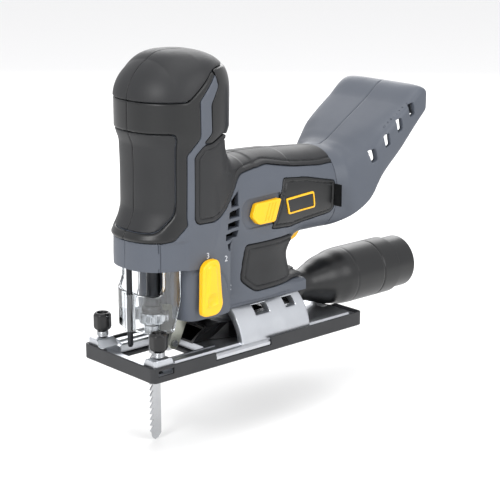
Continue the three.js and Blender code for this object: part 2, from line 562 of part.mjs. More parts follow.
const pinionOutline = Array.from({ length: PINION.teeth }, (_, k) => {
  const middle = k * TAU / PINION.teeth;
  const half = TOOTH_SHARE * Math.PI / PINION.teeth;
  const at = (radius, turn) => [radius * Math.cos(middle + turn), radius * Math.sin(middle + turn)];
  return [at(PINION.root, -half * 1.7), at(PINION.tip, -half * 0.8), at(PINION.tip, half * 0.8),
    at(PINION.root, half * 1.7)];
}).flat();
finish('rotor_shaft', union(
  prism('z', pinionOutline, PINION.bottom, PINION.top).translate([MOTOR.x, 0, 0]),
  rod('z', MOTOR.shaftRadius, PINION.bottom, BEARING.upper + 5.4, [MOTOR.x, 0, 0], 16)), BRIGHT_STEEL);

const FAN = { radius: 15.5, bottom: 122, top: 127.2, blades: 7 };
const fanBlade = box(4, FAN.radius, -0.6, 0.6, FAN.bottom, FAN.top);
const fanBlades = Array.from({ length: FAN.blades }, (_, k) => fanBlade.rotate([0, 0, k * 360 / FAN.blades]));
finish('fan', cut(
  union(tube('z', FAN.radius, 4, FAN.top - 1.2, FAN.top, [0, 0, 0], 18),
    rod('z', 5, FAN.bottom, FAN.top, [0, 0, 0], 16), ...fanBlades),
  rod('z', shaftBore, 100, 140, [0, 0, 0], 16)).translate([MOTOR.x, 0, 0]), BLACK_PLASTIC);

// ---------------------------------------------------------------- crank gear
const CRANK_Z = YOKE.z + STROKE / 2;
const SPINDLE = { radius: 4, bore: 4 + GAP };
finish('gear_plate', cut(
  union(box(GEAR_PLATE.rear, GEAR_PLATE.front, -GEAR_PLATE.halfWidth, GEAR_PLATE.halfWidth,
    GEAR_PLATE.bottom, GEAR_PLATE.top),
  rod('x', 8, GEAR_PLATE.front - 1, CROWN.tip - 0.8, [0, 0, CRANK_Z], 20)),
  rod('x', SPINDLE.bore, 20, 50, [0, 0, CRANK_Z], 20)), CAST_ALUMINIUM);
finish('crank_spindle', turned('x', [[0, GEAR_PLATE.rear - 2], [6, GEAR_PLATE.rear - 2],
  [6, GEAR_PLATE.rear - GAP], [SPINDLE.radius, GEAR_PLATE.rear - GAP], [SPINDLE.radius, DISC.front + 1],
  [0, DISC.front + 1]], [0, 0, CRANK_Z], 20), BRIGHT_STEEL);
const crownTeeth = Array.from({ length: CROWN.teeth }, (_, k) => {
  const middle = Math.PI / 2 + (k + 0.5) * TAU / CROWN.teeth;
  const half = TOOTH_SHARE * Math.PI / CROWN.teeth;
  const at = (radius, turn) => [radius * Math.cos(middle + turn), radius * Math.sin(middle + turn)];
  return prism('x', [at(CROWN.inner, -half), at(CROWN.outer, -half), at(CROWN.outer, half),
    at(CROWN.inner, half)], CROWN.tip, CROWN.root + 0.5);
});
const pinFront = YOKE.rear - 0.6;
const weightOutline = Array.from({ length: 9 }, (_, k) => {
  const angle = Math.PI * (0.12 + 0.76 * k / 8);
  return [17.5 * Math.cos(angle), 17.5 * Math.sin(angle)];
});
// Disc with the crown teeth behind, the crank pin and its counterweight in front.
finish('crank_gear', cut(
  union(rod('x', DISC.radius, CROWN.root, DISC.front, [0, 0, 0], 34), ...crownTeeth,
    rod('x', CRANK_PIN_RADIUS, DISC.front - 1, pinFront, [0, 0, -STROKE / 2], 12),
    prism('x', [...weightOutline, [-7, 6.5], [7, 6.5]], DISC.front - 0.5, DISC.front + 4)),
  rod('x', SPINDLE.bore, 30, 60, [0, 0, 0], 16)).translate([0, 0, CRANK_Z]), BRIGHT_STEEL);

// ---------------------------------------------------------------- plunger and its swinging guide
const EYES = [[70, 76], [GUIDE_PIVOT_Z - 3.5, GUIDE_PIVOT_Z + 4]];
const eyeRadius = 8.3;
const BUSH_RADIUS = 6.2;
const strut = box(PLUNGER.x + PLUNGER.radius + 1, PLUNGER.x + PLUNGER.radius + 3.2, -9, 9, EYES[0][0], EYES[1][1]);
finish('guide_carrier', cut(
  union(strut, ...EYES.map(([from, to]) => rod('z', eyeRadius, from, to, [PLUNGER.x, 0, 0], 24)),
    rod('y', TRUNNION.radius, -TRUNNION.reach, TRUNNION.reach, [PLUNGER.x, 0, GUIDE_PIVOT_Z], 16)),
  rod('z', BUSH_RADIUS + GAP, 60, 140, [PLUNGER.x, 0, 0], 24)), CAST_ALUMINIUM);
['guide_bush_lower', 'guide_bush_upper'].forEach((name, k) => {
  finish(name, tube('z', BUSH_RADIUS, PLUNGER.radius + GAP, EYES[k][0], EYES[k][1],
    [PLUNGER.x, 0, 0], 24), BRASS);
});

const bladeSlot = box(BLADE.rear - GAP, BLADE.rear + BLADE.shank + BLADE.overhang + GAP, -BLADE.thickness / 2 - GAP,
  BLADE.thickness / 2 + GAP, 0, BLADE.top + GAP);
const endBottom = CLAMP.nose + 6.8;
const yokePlate = cut(
  box(YOKE.rear, PLUNGER.x, -YOKE.halfWidth, YOKE.halfWidth, YOKE.z - YOKE.halfHeight, YOKE.z + YOKE.halfHeight),
  box(YOKE.rear - 1, YOKE.front, -STROKE / 2 - CRANK_PIN_RADIUS - 1, STROKE / 2 + CRANK_PIN_RADIUS + 1,
    YOKE.z - CRANK_PIN_RADIUS - GAP, YOKE.z + CRANK_PIN_RADIUS + GAP));
finish('plunger', cut(
  union(turned('z', [[0, endBottom], [7, endBottom], [7, endBottom + 0.9],
    [PLUNGER.endRadius, endBottom + 0.9], [PLUNGER.endRadius, BLADE.top + 2],
    [PLUNGER.radius, BLADE.top + 3], [PLUNGER.radius, PLUNGER.top], [0, PLUNGER.top]],
  [PLUNGER.x, 0, 0], 20), yokePlate), bladeSlot), BRIGHT_STEEL);
const endBore = PLUNGER.endRadius + GAP;
finish('clamp_nose', cut(turned('z', [[0, CLAMP.nose], [PLUNGER.endRadius - 0.5, CLAMP.nose],
  [PLUNGER.endRadius, endBottom - GAP], [0, endBottom - GAP]], [PLUNGER.x, 0, 0], 20), bladeSlot), BRIGHT_STEEL);
finish('clamp_collar', turned('z', [[endBore, CLAMP.ringTop + GAP], [CLAMP.collarRadius, CLAMP.ringTop + GAP],
  [CLAMP.collarRadius, CLAMP.collarTop - 2.5], [CLAMP.collarRadius - 0.6, CLAMP.collarTop],
  [endBore, CLAMP.collarTop]], [PLUNGER.x, 0, 0], 24), BLACK_PLASTIC);
const clampTab = box(CLAMP.collarRadius + 0.6, 13.5, -1.7, 1.7, CLAMP.ringBottom + 2.5, CLAMP.ringTop + 3.6);
finish('clamp_ring', union(
  tube('z', CLAMP.ringRadius, endBore, CLAMP.ringBottom, CLAMP.ringTop, [0, 0, 0], 28),
  clampTab.rotate([0, 0, -25])).translate([PLUNGER.x, 0, 0]), BRIGHT_STEEL);

const TOOTH_PITCH = 4;
const toothRows = Math.floor((4 - BLADE.tip - 5) / TOOTH_PITCH);
const bladeFront = BLADE.rear + BLADE.shank + BLADE.overhang;
const teeth = Array.from({ length: toothRows }, (_, k) => {
  const z = 4 - k * TOOTH_PITCH;
  return [[bladeFront - 1.5, z], [bladeFront, z - TOOTH_PITCH + 0.6]];
}).flat();
finish('blade', prism('y', [[BLADE.rear, BLADE.top], [BLADE.rear + BLADE.shank, BLADE.top],
  [BLADE.rear + BLADE.shank, 6], ...teeth, [bladeFront - 1.6, BLADE.tip + 2],
  [bladeFront - 3, BLADE.tip], [BLADE.rear, BLADE.tip + 3.5]],
-BLADE.thickness / 2, BLADE.thickness / 2), BRIGHT_STEEL);

// ---------------------------------------------------------------- blade roller on its rocking arm
const ROLLER_X = BLADE.rear - GAP - ROLLER.radius;
const armReach = Math.hypot(ROLLER_X - ARM_PIVOT.x, ARM_PIVOT.z - ROLLER.z);
const armTurn = Math.atan2(ROLLER_X - ARM_PIVOT.x, ARM_PIVOT.z - ROLLER.z);
// Capsule outline from the pivot down to the roller.
const armOutline = [[5, 0, Math.PI, 0], [4, armReach, 0, -Math.PI]].flatMap(([radius, drop, from, to]) => (
  Array.from({ length: 7 }, (_, k) => {
    const angle = from + (to - from) * k / 6;
    const [u, w] = [radius * Math.cos(angle), -drop + radius * Math.sin(angle)];
    return [ARM_PIVOT.x + u * Math.cos(armTurn) - w * Math.sin(armTurn),
      ARM_PIVOT.z + u * Math.sin(armTurn) + w * Math.cos(armTurn)];
  })));
const armPlate = prism('y', armOutline, ROLLER.width / 2 + 2.4, ROLLER.width / 2 + 4.8);
const bridge = box(ARM_PIVOT.x + 1, ARM_PIVOT.x + 6, -ROLLER.width / 2 - 3, ROLLER.width / 2 + 3, 25, 34);
finish('roller_arm', cut(union(armPlate, mirrored(armPlate), bridge),
  rod('y', ARM_PIN.radius + GAP, -20, 20, [ARM_PIVOT.x, 0, ARM_PIVOT.z], 16),
  rod('y', ROLLER.pinRadius + GAP, -20, 20, [ROLLER_X, 0, ROLLER.z], 16)), ZINC_STEEL);
finish('arm_pin', rod('y', ARM_PIN.radius, -ARM_PIN.reach, ARM_PIN.reach, [ARM_PIVOT.x, 0, ARM_PIVOT.z], 16), BRIGHT_STEEL);
finish('roller_pin', rod('y', ROLLER.pinRadius, -8.6, 8.6, [ROLLER_X, 0, ROLLER.z], 16), BRIGHT_STEEL);
finish('roller', cut(turned('y', [[0, -ROLLER.width / 2], [ROLLER.radius + 0.2, -ROLLER.width / 2],
  [ROLLER.radius, -0.9], [ROLLER.radius, 0.9], [ROLLER.radius + 0.2, ROLLER.width / 2], [0, ROLLER.width / 2]],
[ROLLER_X, 0, ROLLER.z], 24), rod('y', ROLLER.pinRadius + GAP, -20, 20, [ROLLER_X, 0, ROLLER.z], 16)), BRIGHT_STEEL);

// ---------------------------------------------------------------- orbit lever, buttons and dial
const leverOutline = rounded([[-7, 23], [-4.5, LEVER.reach], [2.5, LEVER.reach - 0.6], [6.8, 21.5], [7.2, 0],
  [7.5, -8.5], [4.5, -LEVER.hub], [-5.5, -LEVER.hub], [-9.6, -4.5], [-8.6, 2.5]], 3, 2)
  .map(([u, w]) => [LEVER.x + u, LEVER.z + w]);
finish('orbit_lever', prism('y', leverOutline, LEVER.back + 1, LEVER.front), YELLOW_PLASTIC);
const camFlat = box(LEVER.x - 6, LEVER.x + 6, 10, 20, LEVER.z + 1.4, LEVER.z + 6);
finish('orbit_cam', cut(rod('y', 4, 14.6, LEVER.back + 1 - GAP, [LEVER.x, 0, LEVER.z], 16), camFlat), ZINC_STEEL);

const buttonOutline = rounded([[BUTTON.rear, BUTTON.bottom + 0.6], [BUTTON.front - 5, BUTTON.bottom],
  [BUTTON.front, BUTTON.bottom + 5.5], [BUTTON.front - 3, BUTTON.top - 1], [BUTTON.rear + 1, BUTTON.top]], 2, 2);
const ridge = (k) => box(BUTTON.rear + 4 + k * 3, BUTTON.rear + 5.4 + k * 3, BUTTON.face - 1, BUTTON.face + 1,
  BUTTON.bottom + 2.5, BUTTON.top - 2);
const button = union(
  cut(prism('y', buttonOutline, BUTTON.back, BUTTON.face), ...[0, 1, 2, 3].map(ridge)),
  box(STEM.rear, STEM.front, STEM.end, BUTTON.back + 1, STEM.bottom, STEM.top));
finishPair('power_button', button, YELLOW_PLASTIC);
finish('button_link', box(STEM.rear, STEM.front, -STEM.end + GAP, STEM.end - GAP, STEM.bottom, STEM.top), BLACK_PLASTIC);
finish('switch_module', union(box(-32, 0, -9, 9, 72, STEM.bottom - GAP), box(-30, -18, -6, 6, 80, 92)), BLACK_PLASTIC);
finish('controller_board', box(-64, -38, -15, 15, 92, 94), paint(0x2f5a3a, 0.6));
finish('speed_dial', union(rod('y', DIAL.radius, -DIAL.halfWidth, DIAL.halfWidth, [DIAL.x, 0, DIAL.z], 28),
  rod('y', 1.5, -6.4, 6.4, [DIAL.x, 0, DIAL.z], 12)), YELLOW_PLASTIC);

// ---------------------------------------------------------------- clear chip guard and finger rod
// Plan outline: straight arms, then a squarish round nose, offset inwards by d.
const guardPlan = (d, rear) => {
  const nose = Array.from({ length: 17 }, (_, k) => {
    const [u, v] = ringPoint(-Math.PI / 2 + Math.PI * k / 16, 12.5 - d, GUARD.radius - d, 2.4);
    return [GUARD.x + 10 + u, v];
  });
  return [...nose, [rear, GUARD.radius - d], [rear, -GUARD.radius + d]];
};
const guardWall = cut(prism('z', guardPlan(0, GUARD.x - 0.6), GUARD.bottom, GUARD.top),
  prism('z', guardPlan(GUARD.wall, GUARD.x - 5), GUARD.bottom - 1, GUARD.top + 1),
  box(GUARD.x + 12, BIG, -BIG, BIG, GUARD.lip, BIG));
finish('chip_guard', cut(union(guardWall, rod('z', ROD.radius + 1.6, GUARD.bottom, GUARD.lip, [ROD.x, 0, 0], 16)),
  rod('z', ROD.radius + GAP, 0, 90, [ROD.x, 0, 0], 16)), CLEAR);
finish('finger_rod', turned('z', [[0, ROD.bottom], [ROD.radius * 0.7, ROD.bottom + 0.5], [ROD.radius, ROD.bottom + 1.8],
  [ROD.radius, ROD.top], [0, ROD.top]], [ROD.x, 0, 0], 12), BRIGHT_STEEL);

// ---------------------------------------------------------------- base casting, shoe and what they carry
const planRect = (x, y, radius) => rounded([[-x, -y], [x, -y], [x, y], [-x, y]], radius);
const halfLength = BASE_LENGTH / 2;
const halfWidth = BASE_WIDTH / 2;
const castEdge = SHOE_WALL + GAP;
const KNOB_X = (BLOCK.rear + BLOCK.front) / 2;
const KNOB_Y = halfWidth - 7.5;
const fenceSlot = box(KNOB_X - FENCE.width / 2, KNOB_X + FENCE.width / 2, -BIG, BIG, FENCE.bottom, FENCE.top);
const keyHole = rod('z', 7, -1, 10, [BOLT.x, 0, 0], 20);
const nozzleRelief = rod('x', NOZZLE.body - 1.4, -halfLength - 5, -halfLength + 9, [0, 0, NOZZLE.z], 32);
const window = prism('z', rounded([[WINDOW.rear, -WINDOW.halfWidth], [WINDOW.front, -WINDOW.halfWidth],
  [WINDOW.front, WINDOW.halfWidth], [WINDOW.rear, WINDOW.halfWidth]], 4), -1, 20);

const castPlan = (z0, z1) => prism('z', planRect(halfLength - castEdge, halfWidth - castEdge, 3), z0, z1);
const recessStrip = (side) => sideBox(RECESS.rear + GAP, RECESS.front - GAP, side, halfWidth - 4, halfWidth - GAP,
  RECESS_TOP + GAP, PLATE_TOP);
const rail = (side) => sideBox(-halfLength + castEdge + 6, halfLength - castEdge - 6, side,
  halfWidth - castEdge - 9, halfWidth - castEdge - 3.4, PLATE_TOP - 1, PLATE_TOP + 1.5);
const block = (side) => sideBox(BLOCK.rear, BLOCK.front, side, BLOCK.innerY, halfWidth - castEdge, PLATE_TOP - 1, BLOCK.top);
const quadrant = cut(
  tube('x', QUADRANT.radius, QUADRANT.radius - QUADRANT.wall, QUADRANT.rear, QUADRANT.front, [0, 0, TILT_Z], 48),
  box(-BIG, BIG, -BIG, BIG, -BIG, PLATE_TOP - 1));
const sectorSlot = (() => {
  const steps = 8;
  const spread = 26 * Math.PI / 180;
  const arc = (radius, from, to) => Array.from({ length: steps + 1 }, (_, k) => {
    const angle = Math.PI / 2 + from + (to - from) * k / steps;
    return [radius * Math.cos(angle), TILT_Z + radius * Math.sin(angle)];
  });
  const half = BOLT.radius + 0.6;
  return prism('x', [...arc(QUADRANT.radius + 3, -spread, spread),
    ...arc(QUADRANT.radius - QUADRANT.wall - 3, spread, -spread)], BOLT.x - half, BOLT.x + half);
})();
const sideWindows = [[-13, -1], [-36, -27.5]].map(([x0, x1]) => box(x0, x1, -BIG, BIG, 23, 28.5));
finish('base_plate', cut(
  union(castPlan(SHOE_FLOOR + GAP, PLATE_TOP),
    recessStrip(1), recessStrip(-1), rail(1), rail(-1), quadrant,
    union(block(1), block(-1)).intersect(castPlan(0, BLOCK.top + 1))),
  window, fenceSlot, keyHole, nozzleRelief, sectorSlot, ...sideWindows,
  ...[1, -1].map((side) => rod('z', KNOB.shank + GAP, 2.9, 20, [KNOB_X, side * KNOB_Y, 0], 14))), CAST_ALUMINIUM);

const floorWindow = prism('z', rounded([[WINDOW.rear + 3, -WINDOW.halfWidth + 3], [WINDOW.front, -WINDOW.halfWidth + 3],
  [WINDOW.front, WINDOW.halfWidth - 3], [WINDOW.rear + 3, WINDOW.halfWidth - 3]], 4), -1, 20);
const skirtRecess = [1, -1].map((side) => sideBox(RECESS.rear, RECESS.front, side, halfWidth - 4, halfWidth + 1,
  RECESS_TOP, SKIRT_TOP + 1));
finish('shoe', cut(prism('z', planRect(halfLength, halfWidth, 4), 0, SKIRT_TOP),
  prism('z', planRect(halfLength - SHOE_WALL, halfWidth - SHOE_WALL, 3.3), SHOE_FLOOR, SKIRT_TOP + 1),
  floorWindow, fenceSlot, keyHole, nozzleRelief, ...skirtRecess), SHOE_PLASTIC);

const clampArc = (radius, from, to) => Array.from({ length: 9 }, (_, k) => {
  const angle = (90 + from + (to - from) * k / 8) * Math.PI / 180;
  return [radius * Math.cos(angle), TILT_Z + radius * Math.sin(angle)];
});
const clampOuter = (QUADRANT.radius - QUADRANT.wall - GAP) * Math.cos(Math.PI / 48);
finish('clamp_plate', cut(prism('x', [
  ...clampArc(clampOuter, -CLAMP_PLATE.halfAngle, CLAMP_PLATE.halfAngle),
  ...clampArc(clampOuter - CLAMP_PLATE.thickness, CLAMP_PLATE.halfAngle, -CLAMP_PLATE.halfAngle)],
BOLT.x - CLAMP_PLATE.halfLength, BOLT.x + CLAMP_PLATE.halfLength),
rod('z', BOLT.radius + GAP, 0, 50, [BOLT.x, 0, 0], 16)), ZINC_STEEL);
// The flat head stays under the hollow of the plate's inner face.
const boltTop = TILT_Z + Math.sqrt((clampOuter - CLAMP_PLATE.thickness) ** 2 - BOLT.headRadius ** 2) - GAP / 2;
finish('bevel_bolt', cut(
  union(rod('z', BOLT.headRadius, boltTop - BOLT.headHeight, boltTop, [BOLT.x, 0, 0], 20),
    rod('z', BOLT.radius, boltTop - 1, boltTop + BOLT.length, [BOLT.x, 0, 0], 16)),
  rod('z', 2.6, 0, boltTop - BOLT.headHeight + 3, [BOLT.x, 0, 0], 6)), BRIGHT_STEEL);

for (const [name, side] of [['left', 1], ['right', -1]]) {
  finish(`fence_screw_${name}`, turned('z', [[0, FENCE.top + 0.4], [KNOB.shank, FENCE.top + 0.4],
    [KNOB.shank, KNOB.bottom], [KNOB.radius - 1, KNOB.bottom], [KNOB.radius, KNOB.bottom + 1.5],
    [KNOB.radius, KNOB.top - 1.5], [KNOB.radius - 1.3, KNOB.top], [0, KNOB.top]],
  [KNOB_X, side * KNOB_Y, 0], 12), BLACK_PLASTIC);
  finish(`fence_spring_${name}`, tube('z', KNOB.spring, KNOB.shank + GAP, BLOCK.top + GAP, KNOB.bottom - GAP,
    [KNOB_X, side * KNOB_Y, 0], 14), BRIGHT_STEEL);
}

// ---------------------------------------------------------------- dust duct and suction nozzle
const DUCT = {
  mouth: 38, rear: QUADRANT.rear - 2, bottom: PLATE_TOP + 0.4, top: 19,
  halfWidth: QUADRANT.radius - QUADRANT.wall - 13, wall: 1.5,
};
// Four-cornered ring at x: top half width, bottom half width, bottom, top.
const trough = (x, top, bottom, low, high) => [[x, bottom, low], [x, top, high], [x, -top, high], [x, -bottom, low]];
const ductRings = (d) => [
  trough(DUCT.mouth + d, 20 - d, 8.5 - d * 0.6, DUCT.bottom + d, DUCT.top + 2.6 - d),
  trough(24, 19 - d, 9.5 - d * 0.6, DUCT.bottom + d, DUCT.top + 2.6 - d),
  trough(12, DUCT.halfWidth - d, DUCT.halfWidth - d, DUCT.bottom + d, DUCT.top - d),
  trough(DUCT.rear - d, DUCT.halfWidth - d, DUCT.halfWidth - d, DUCT.bottom + d, DUCT.top - d)];
const pillar = (distance) => box(BOLT.x - 5.5 - distance, BOLT.x + 5.5 + distance, -8 - distance, 8 + distance,
  DUCT.bottom - (distance ? 0 : 2), DUCT.top + (distance ? 0 : 2));
finish('dust_duct', cut(loft(ductRings(0)), cut(loft(ductRings(DUCT.wall)), pillar(1.4)), pillar(0)), BLACK_PLASTIC);

const spigot = { y: DUCT.halfWidth - DUCT.wall - 0.4, z: (DUCT.top - DUCT.bottom) / 2 - DUCT.wall - 0.4,
  middle: (DUCT.top + DUCT.bottom) / 2 };
const nozzleStations = [
  [DUCT.rear + 9, spigot.middle, spigot.y, spigot.z, 8], [DUCT.rear - 1, spigot.middle, spigot.y, spigot.z, 8],
  [DUCT.rear - 8, spigot.middle + 7.5, 11.5, 8.5, 3],
  ...[[30, NOZZLE.neck], [24, NOZZLE.neck + 0.4], [16, 13.4], [7, 16.6], [0, 18], [-8, NOZZLE.body - 0.4],
    [-15, NOZZLE.body], [-55, NOZZLE.body], [-56.5, NOZZLE.end], [-NOZZLE.overhang, NOZZLE.end]]
    .map(([x, radius]) => [x - halfLength, NOZZLE.z, radius, radius, 2])];
const nozzleLoft = (d, over) => loft(nozzleStations.map(([x, z, ry, rz, squareness], k) => {
  const shift = k === 0 ? over : (k === nozzleStations.length - 1 ? -over : 0);
  return Array.from({ length: 16 }, (_, j) => {
    const [u, v] = ringPoint((j + 0.5) * TAU / 16, ry - d, rz - d, squareness);
    return [x + shift, u, z + v];
  });
}));
finish('nozzle', cut(nozzleLoft(0, 0), nozzleLoft(NOZZLE.wall - 0.4, 1)), BLACK_PLASTIC);

export default group;
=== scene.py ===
"""A cordless barrel-grip jigsaw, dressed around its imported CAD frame.

Lengths inside the shape functions are millimetres, and a mesh is scaled to metres as it is made.
X runs towards the blade end, Y to the tool's left side and Z up from the sole.
"""
import json
import math
from functools import reduce

import bpy
import numpy as np
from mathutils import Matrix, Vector


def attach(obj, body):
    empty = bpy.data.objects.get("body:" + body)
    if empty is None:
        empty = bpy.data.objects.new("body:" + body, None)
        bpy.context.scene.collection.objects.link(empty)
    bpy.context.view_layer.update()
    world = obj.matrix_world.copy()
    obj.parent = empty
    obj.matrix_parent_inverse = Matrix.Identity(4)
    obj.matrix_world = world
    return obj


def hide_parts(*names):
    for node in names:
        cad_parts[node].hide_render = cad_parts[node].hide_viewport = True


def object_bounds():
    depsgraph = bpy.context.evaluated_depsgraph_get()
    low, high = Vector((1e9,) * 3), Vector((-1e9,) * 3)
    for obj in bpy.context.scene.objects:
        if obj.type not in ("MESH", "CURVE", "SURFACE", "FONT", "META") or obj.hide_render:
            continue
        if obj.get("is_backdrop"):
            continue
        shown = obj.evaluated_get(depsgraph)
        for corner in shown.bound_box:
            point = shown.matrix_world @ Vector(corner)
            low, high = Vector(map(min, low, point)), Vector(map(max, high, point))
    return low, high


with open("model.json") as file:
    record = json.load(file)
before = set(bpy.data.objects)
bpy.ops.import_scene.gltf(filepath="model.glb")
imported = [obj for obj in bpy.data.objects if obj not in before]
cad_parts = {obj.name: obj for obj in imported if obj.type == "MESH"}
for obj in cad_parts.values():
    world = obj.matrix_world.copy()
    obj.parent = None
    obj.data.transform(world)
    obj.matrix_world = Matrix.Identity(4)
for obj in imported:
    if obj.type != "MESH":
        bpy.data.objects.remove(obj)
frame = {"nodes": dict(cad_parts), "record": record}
cad_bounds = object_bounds()

# ---------------------------------------------------------------- room, light and camera
# A matt white floor under the tip of the blade, four soft boxes and an even white room.
MM = 0.001
scene = bpy.context.scene
scene.view_settings.view_transform = "Standard"


def aim(name, data, place, target):
    """Object at a place whose -Z axis points at the target."""
    thing = bpy.data.objects.new(name, data)
    thing.location = place
    thing.rotation_euler = (Vector(target) - Vector(place)).to_track_quat("-Z", "Y").to_euler()
    scene.collection.objects.link(thing)
    return thing


def soft_box(name, place, size, power):
    """Square area light aimed at the middle of the tool."""
    lamp = bpy.data.lights.new(name, "AREA")
    lamp.size, lamp.energy = size, power
    return aim(name, lamp, place, (0.0, 0.0, 0.08))


soft_box("key_light", (1.15, 0.35, 0.75), 0.55, 9)
soft_box("side_light", (-0.25, 1.35, 0.75), 0.8, 7)
soft_box("top_light", (-0.1, 0.1, 1.5), 1.0, 7)
soft_box("back_light", (-0.9, -0.9, 0.7), 0.9, 7)

lens = bpy.data.cameras.new("camera")
lens.sensor_width, lens.lens = 36, 108
lens.clip_start, lens.clip_end = 0.05, 50
scene.camera = aim("camera", lens, (0.6221, 0.7105, 0.312), (-0.0198, 0.0, 0.0579))


def linear(colour):
    """Linear RGBA of an sRGB hex colour."""
    parts = [int(colour[k:k + 2], 16) / 255 for k in (1, 3, 5)]
    return (*(c / 12.92 if c <= 0.04045 else ((c + 0.055) / 1.055) ** 2.4 for c in parts), 1.0)


def add(tree, kind, inputs=None, **settings):
    """Adds a node: settings are its own properties, inputs are values or sockets to link."""
    made = tree.nodes.new(kind)
    for key, value in settings.items():
        setattr(made, key, value)
    for key, value in (inputs or {}).items():
        if isinstance(value, bpy.types.NodeSocket):
            tree.links.new(value, made.inputs[key])
        else:
            made.inputs[key].default_value = value
    return made


def blank_material(name):
    """Empty material and its tree, ready for nodes."""
    material = bpy.data.materials.new(name)
    material.use_nodes = True
    material.node_tree.nodes.clear()
    return material, material.node_tree


world = bpy.data.worlds.new("white_room")
scene.world = world
world.use_nodes = True
world.node_tree.nodes["Background"].inputs["Color"].default_value = linear("#fdfdff")
world.node_tree.nodes["Background"].inputs["Strength"].default_value = 1.0


def surface(name, points, faces, material, smooth=38):
    """Mesh object from points in millimetres and faces, shaded smooth below an angle in degrees."""
    mesh = bpy.data.meshes.new(name)
    mesh.from_pydata((np.asarray(points) * MM).tolist(), [], np.asarray(faces).tolist()
                     if not isinstance(faces, list) else faces)
    mesh.validate()
    mesh.shade_smooth()
    mesh.set_sharp_from_angle(angle=math.radians(smooth))
    mesh.materials.append(material)
    piece = bpy.data.objects.new(name, mesh)
    scene.collection.objects.link(piece)
    return piece


paper, tree = blank_material("matt_white_floor")
paint = add(tree, "ShaderNodeBsdfPrincipled", {"Base Color": linear("#f2f2f1"), "Roughness": 0.9})
add(tree, "ShaderNodeOutputMaterial", {"Surface": paint.outputs[0]})
FLOOR_Z = cad_bounds[0].z / MM - 0.5
floor = surface("floor", np.array([[-1, -1, 0], [1, -1, 0], [1, 1, 0], [-1, 1, 0]]) * 6000.0
                + [0, 0, FLOOR_Z], [[0, 1, 2, 3]], paper)
floor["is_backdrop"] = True

# ---------------------------------------------------------------- plastics and rubber of the case
# Injection-moulded ABS and TPE: one even colour, with the fine pitted grain of an etched mould.


def moulded(name, colour, shade, roughness, grain, depth, ior=1.46):
    """Moulded plastic: grain is the pit width and depth its height, both in mm.

    A slow noise drifts the colour towards the shade and the roughness by a few hundredths,
    as handling and flow marks do.
    """
    material, tree = blank_material(name)
    where = add(tree, "ShaderNodeTexCoord").outputs["Object"]
    pits = add(tree, "ShaderNodeTexNoise", {"Vector": where, "Scale": 1 / (grain * MM), "Detail": 3.0,
                                            "Roughness": 0.6})
    drift = add(tree, "ShaderNodeTexNoise", {"Vector": where, "Scale": 1 / (24 * MM), "Detail": 4.0})
    tint = add(tree, "ShaderNodeMix", {0: drift.outputs["Fac"], 6: linear(colour), 7: linear(shade)},
               data_type="RGBA")
    gloss = add(tree, "ShaderNodeMapRange", {"Value": drift.outputs["Fac"], "From Min": 0.3, "From Max": 0.7,
                                             "To Min": roughness - 0.04, "To Max": roughness + 0.05})
    bump = add(tree, "ShaderNodeBump", {"Strength": 0.55, "Distance": depth * MM,
                                        "Height": pits.outputs["Fac"]})
    skin = add(tree, "ShaderNodeBsdfPrincipled", {
        "Base Color": tint.outputs[2], "Roughness": gloss.outputs[0], "Normal": bump.outputs[0], "IOR": ior})
    add(tree, "ShaderNodeOutputMaterial", {"Surface": skin.outputs[0]})
    return material


GREY_ABS = moulded("grey_abs", "#50555e", "#494e57", 0.46, 0.5, 0.05)
BLACK_TPE = moulded("black_soft_tpe", "#1c1d1f", "#161719", 0.52, 0.6, 0.09)
BLACK_NYLON = moulded("satin_black_nylon", "#161718", "#111213", 0.34, 0.5, 0.03)
GLOSS_BLACK = moulded("black_abs", "#121213", "#0e0e0f", 0.3, 0.5, 0.02)
YELLOW_ABS = moulded("yellow_abs", "#f6bd0c", "#efb206", 0.34, 0.6, 0.02, 1.5)


def blend_min(a, b, soft):
    """Union of two distances, with a fillet of about the given size where they meet."""
    share = np.clip(0.5 + 0.5 * (b - a) / soft, 0, 1)
    return b + (a - b) * share - soft * share * (1 - share)


def blend_max(a, b, soft):
    """Intersection of two distances, with the edge between them rounded."""
    return -blend_min(-a, -b, soft)


def both(*fields):
    """Sharp intersection of several distances."""
    return reduce(np.maximum, fields)


def slab(value, low, high):
    """Distance outside a band of one coordinate."""
    return np.maximum(low - value, value - high)


def along(rows, at):
    """Columns of a table at the stations asked for, on a cubic that never overshoots.

    The slope at each station is the harmonic mean of its neighbours' slopes, or level at a turn.
    """
    rows = np.asarray(rows, float)
    x, y = rows[:, 0], rows[:, 1:]
    h = np.diff(x)[:, None]
    d = np.diff(y, axis=0) / h
    slope = np.zeros_like(y)
    total = d[:-1] + d[1:]
    slope[1:-1] = np.where(d[:-1] * d[1:] > 0, 2 * d[:-1] * d[1:] / np.where(total == 0, 1, total), 0)
    slope[0], slope[-1] = d[0], d[-1]
    at = np.clip(at, x[0], x[-1])
    k = np.clip(np.searchsorted(x, at) - 1, 0, len(x) - 2)
    t = ((at - x[k]) / h[k, 0])[:, None]
    return ((1 + 2 * t) * (1 - t) ** 2 * y[k] + t * (1 - t) ** 2 * h[k] * slope[k]
            + t * t * (3 - 2 * t) * y[k + 1] - t * t * (1 - t) * h[k] * slope[k + 1]).T


def section(u, v, half_u, half_v, squareness):
    """Distance outside a superellipse, |u/a|^n + |v/b|^n = 1, measured on its shorter half."""
    reach = ((np.abs(u) / half_u) ** squareness + (np.abs(v) / half_v) ** squareness) ** (1 / squareness)
    return (reach - 1) * np.minimum(half_u, half_v)


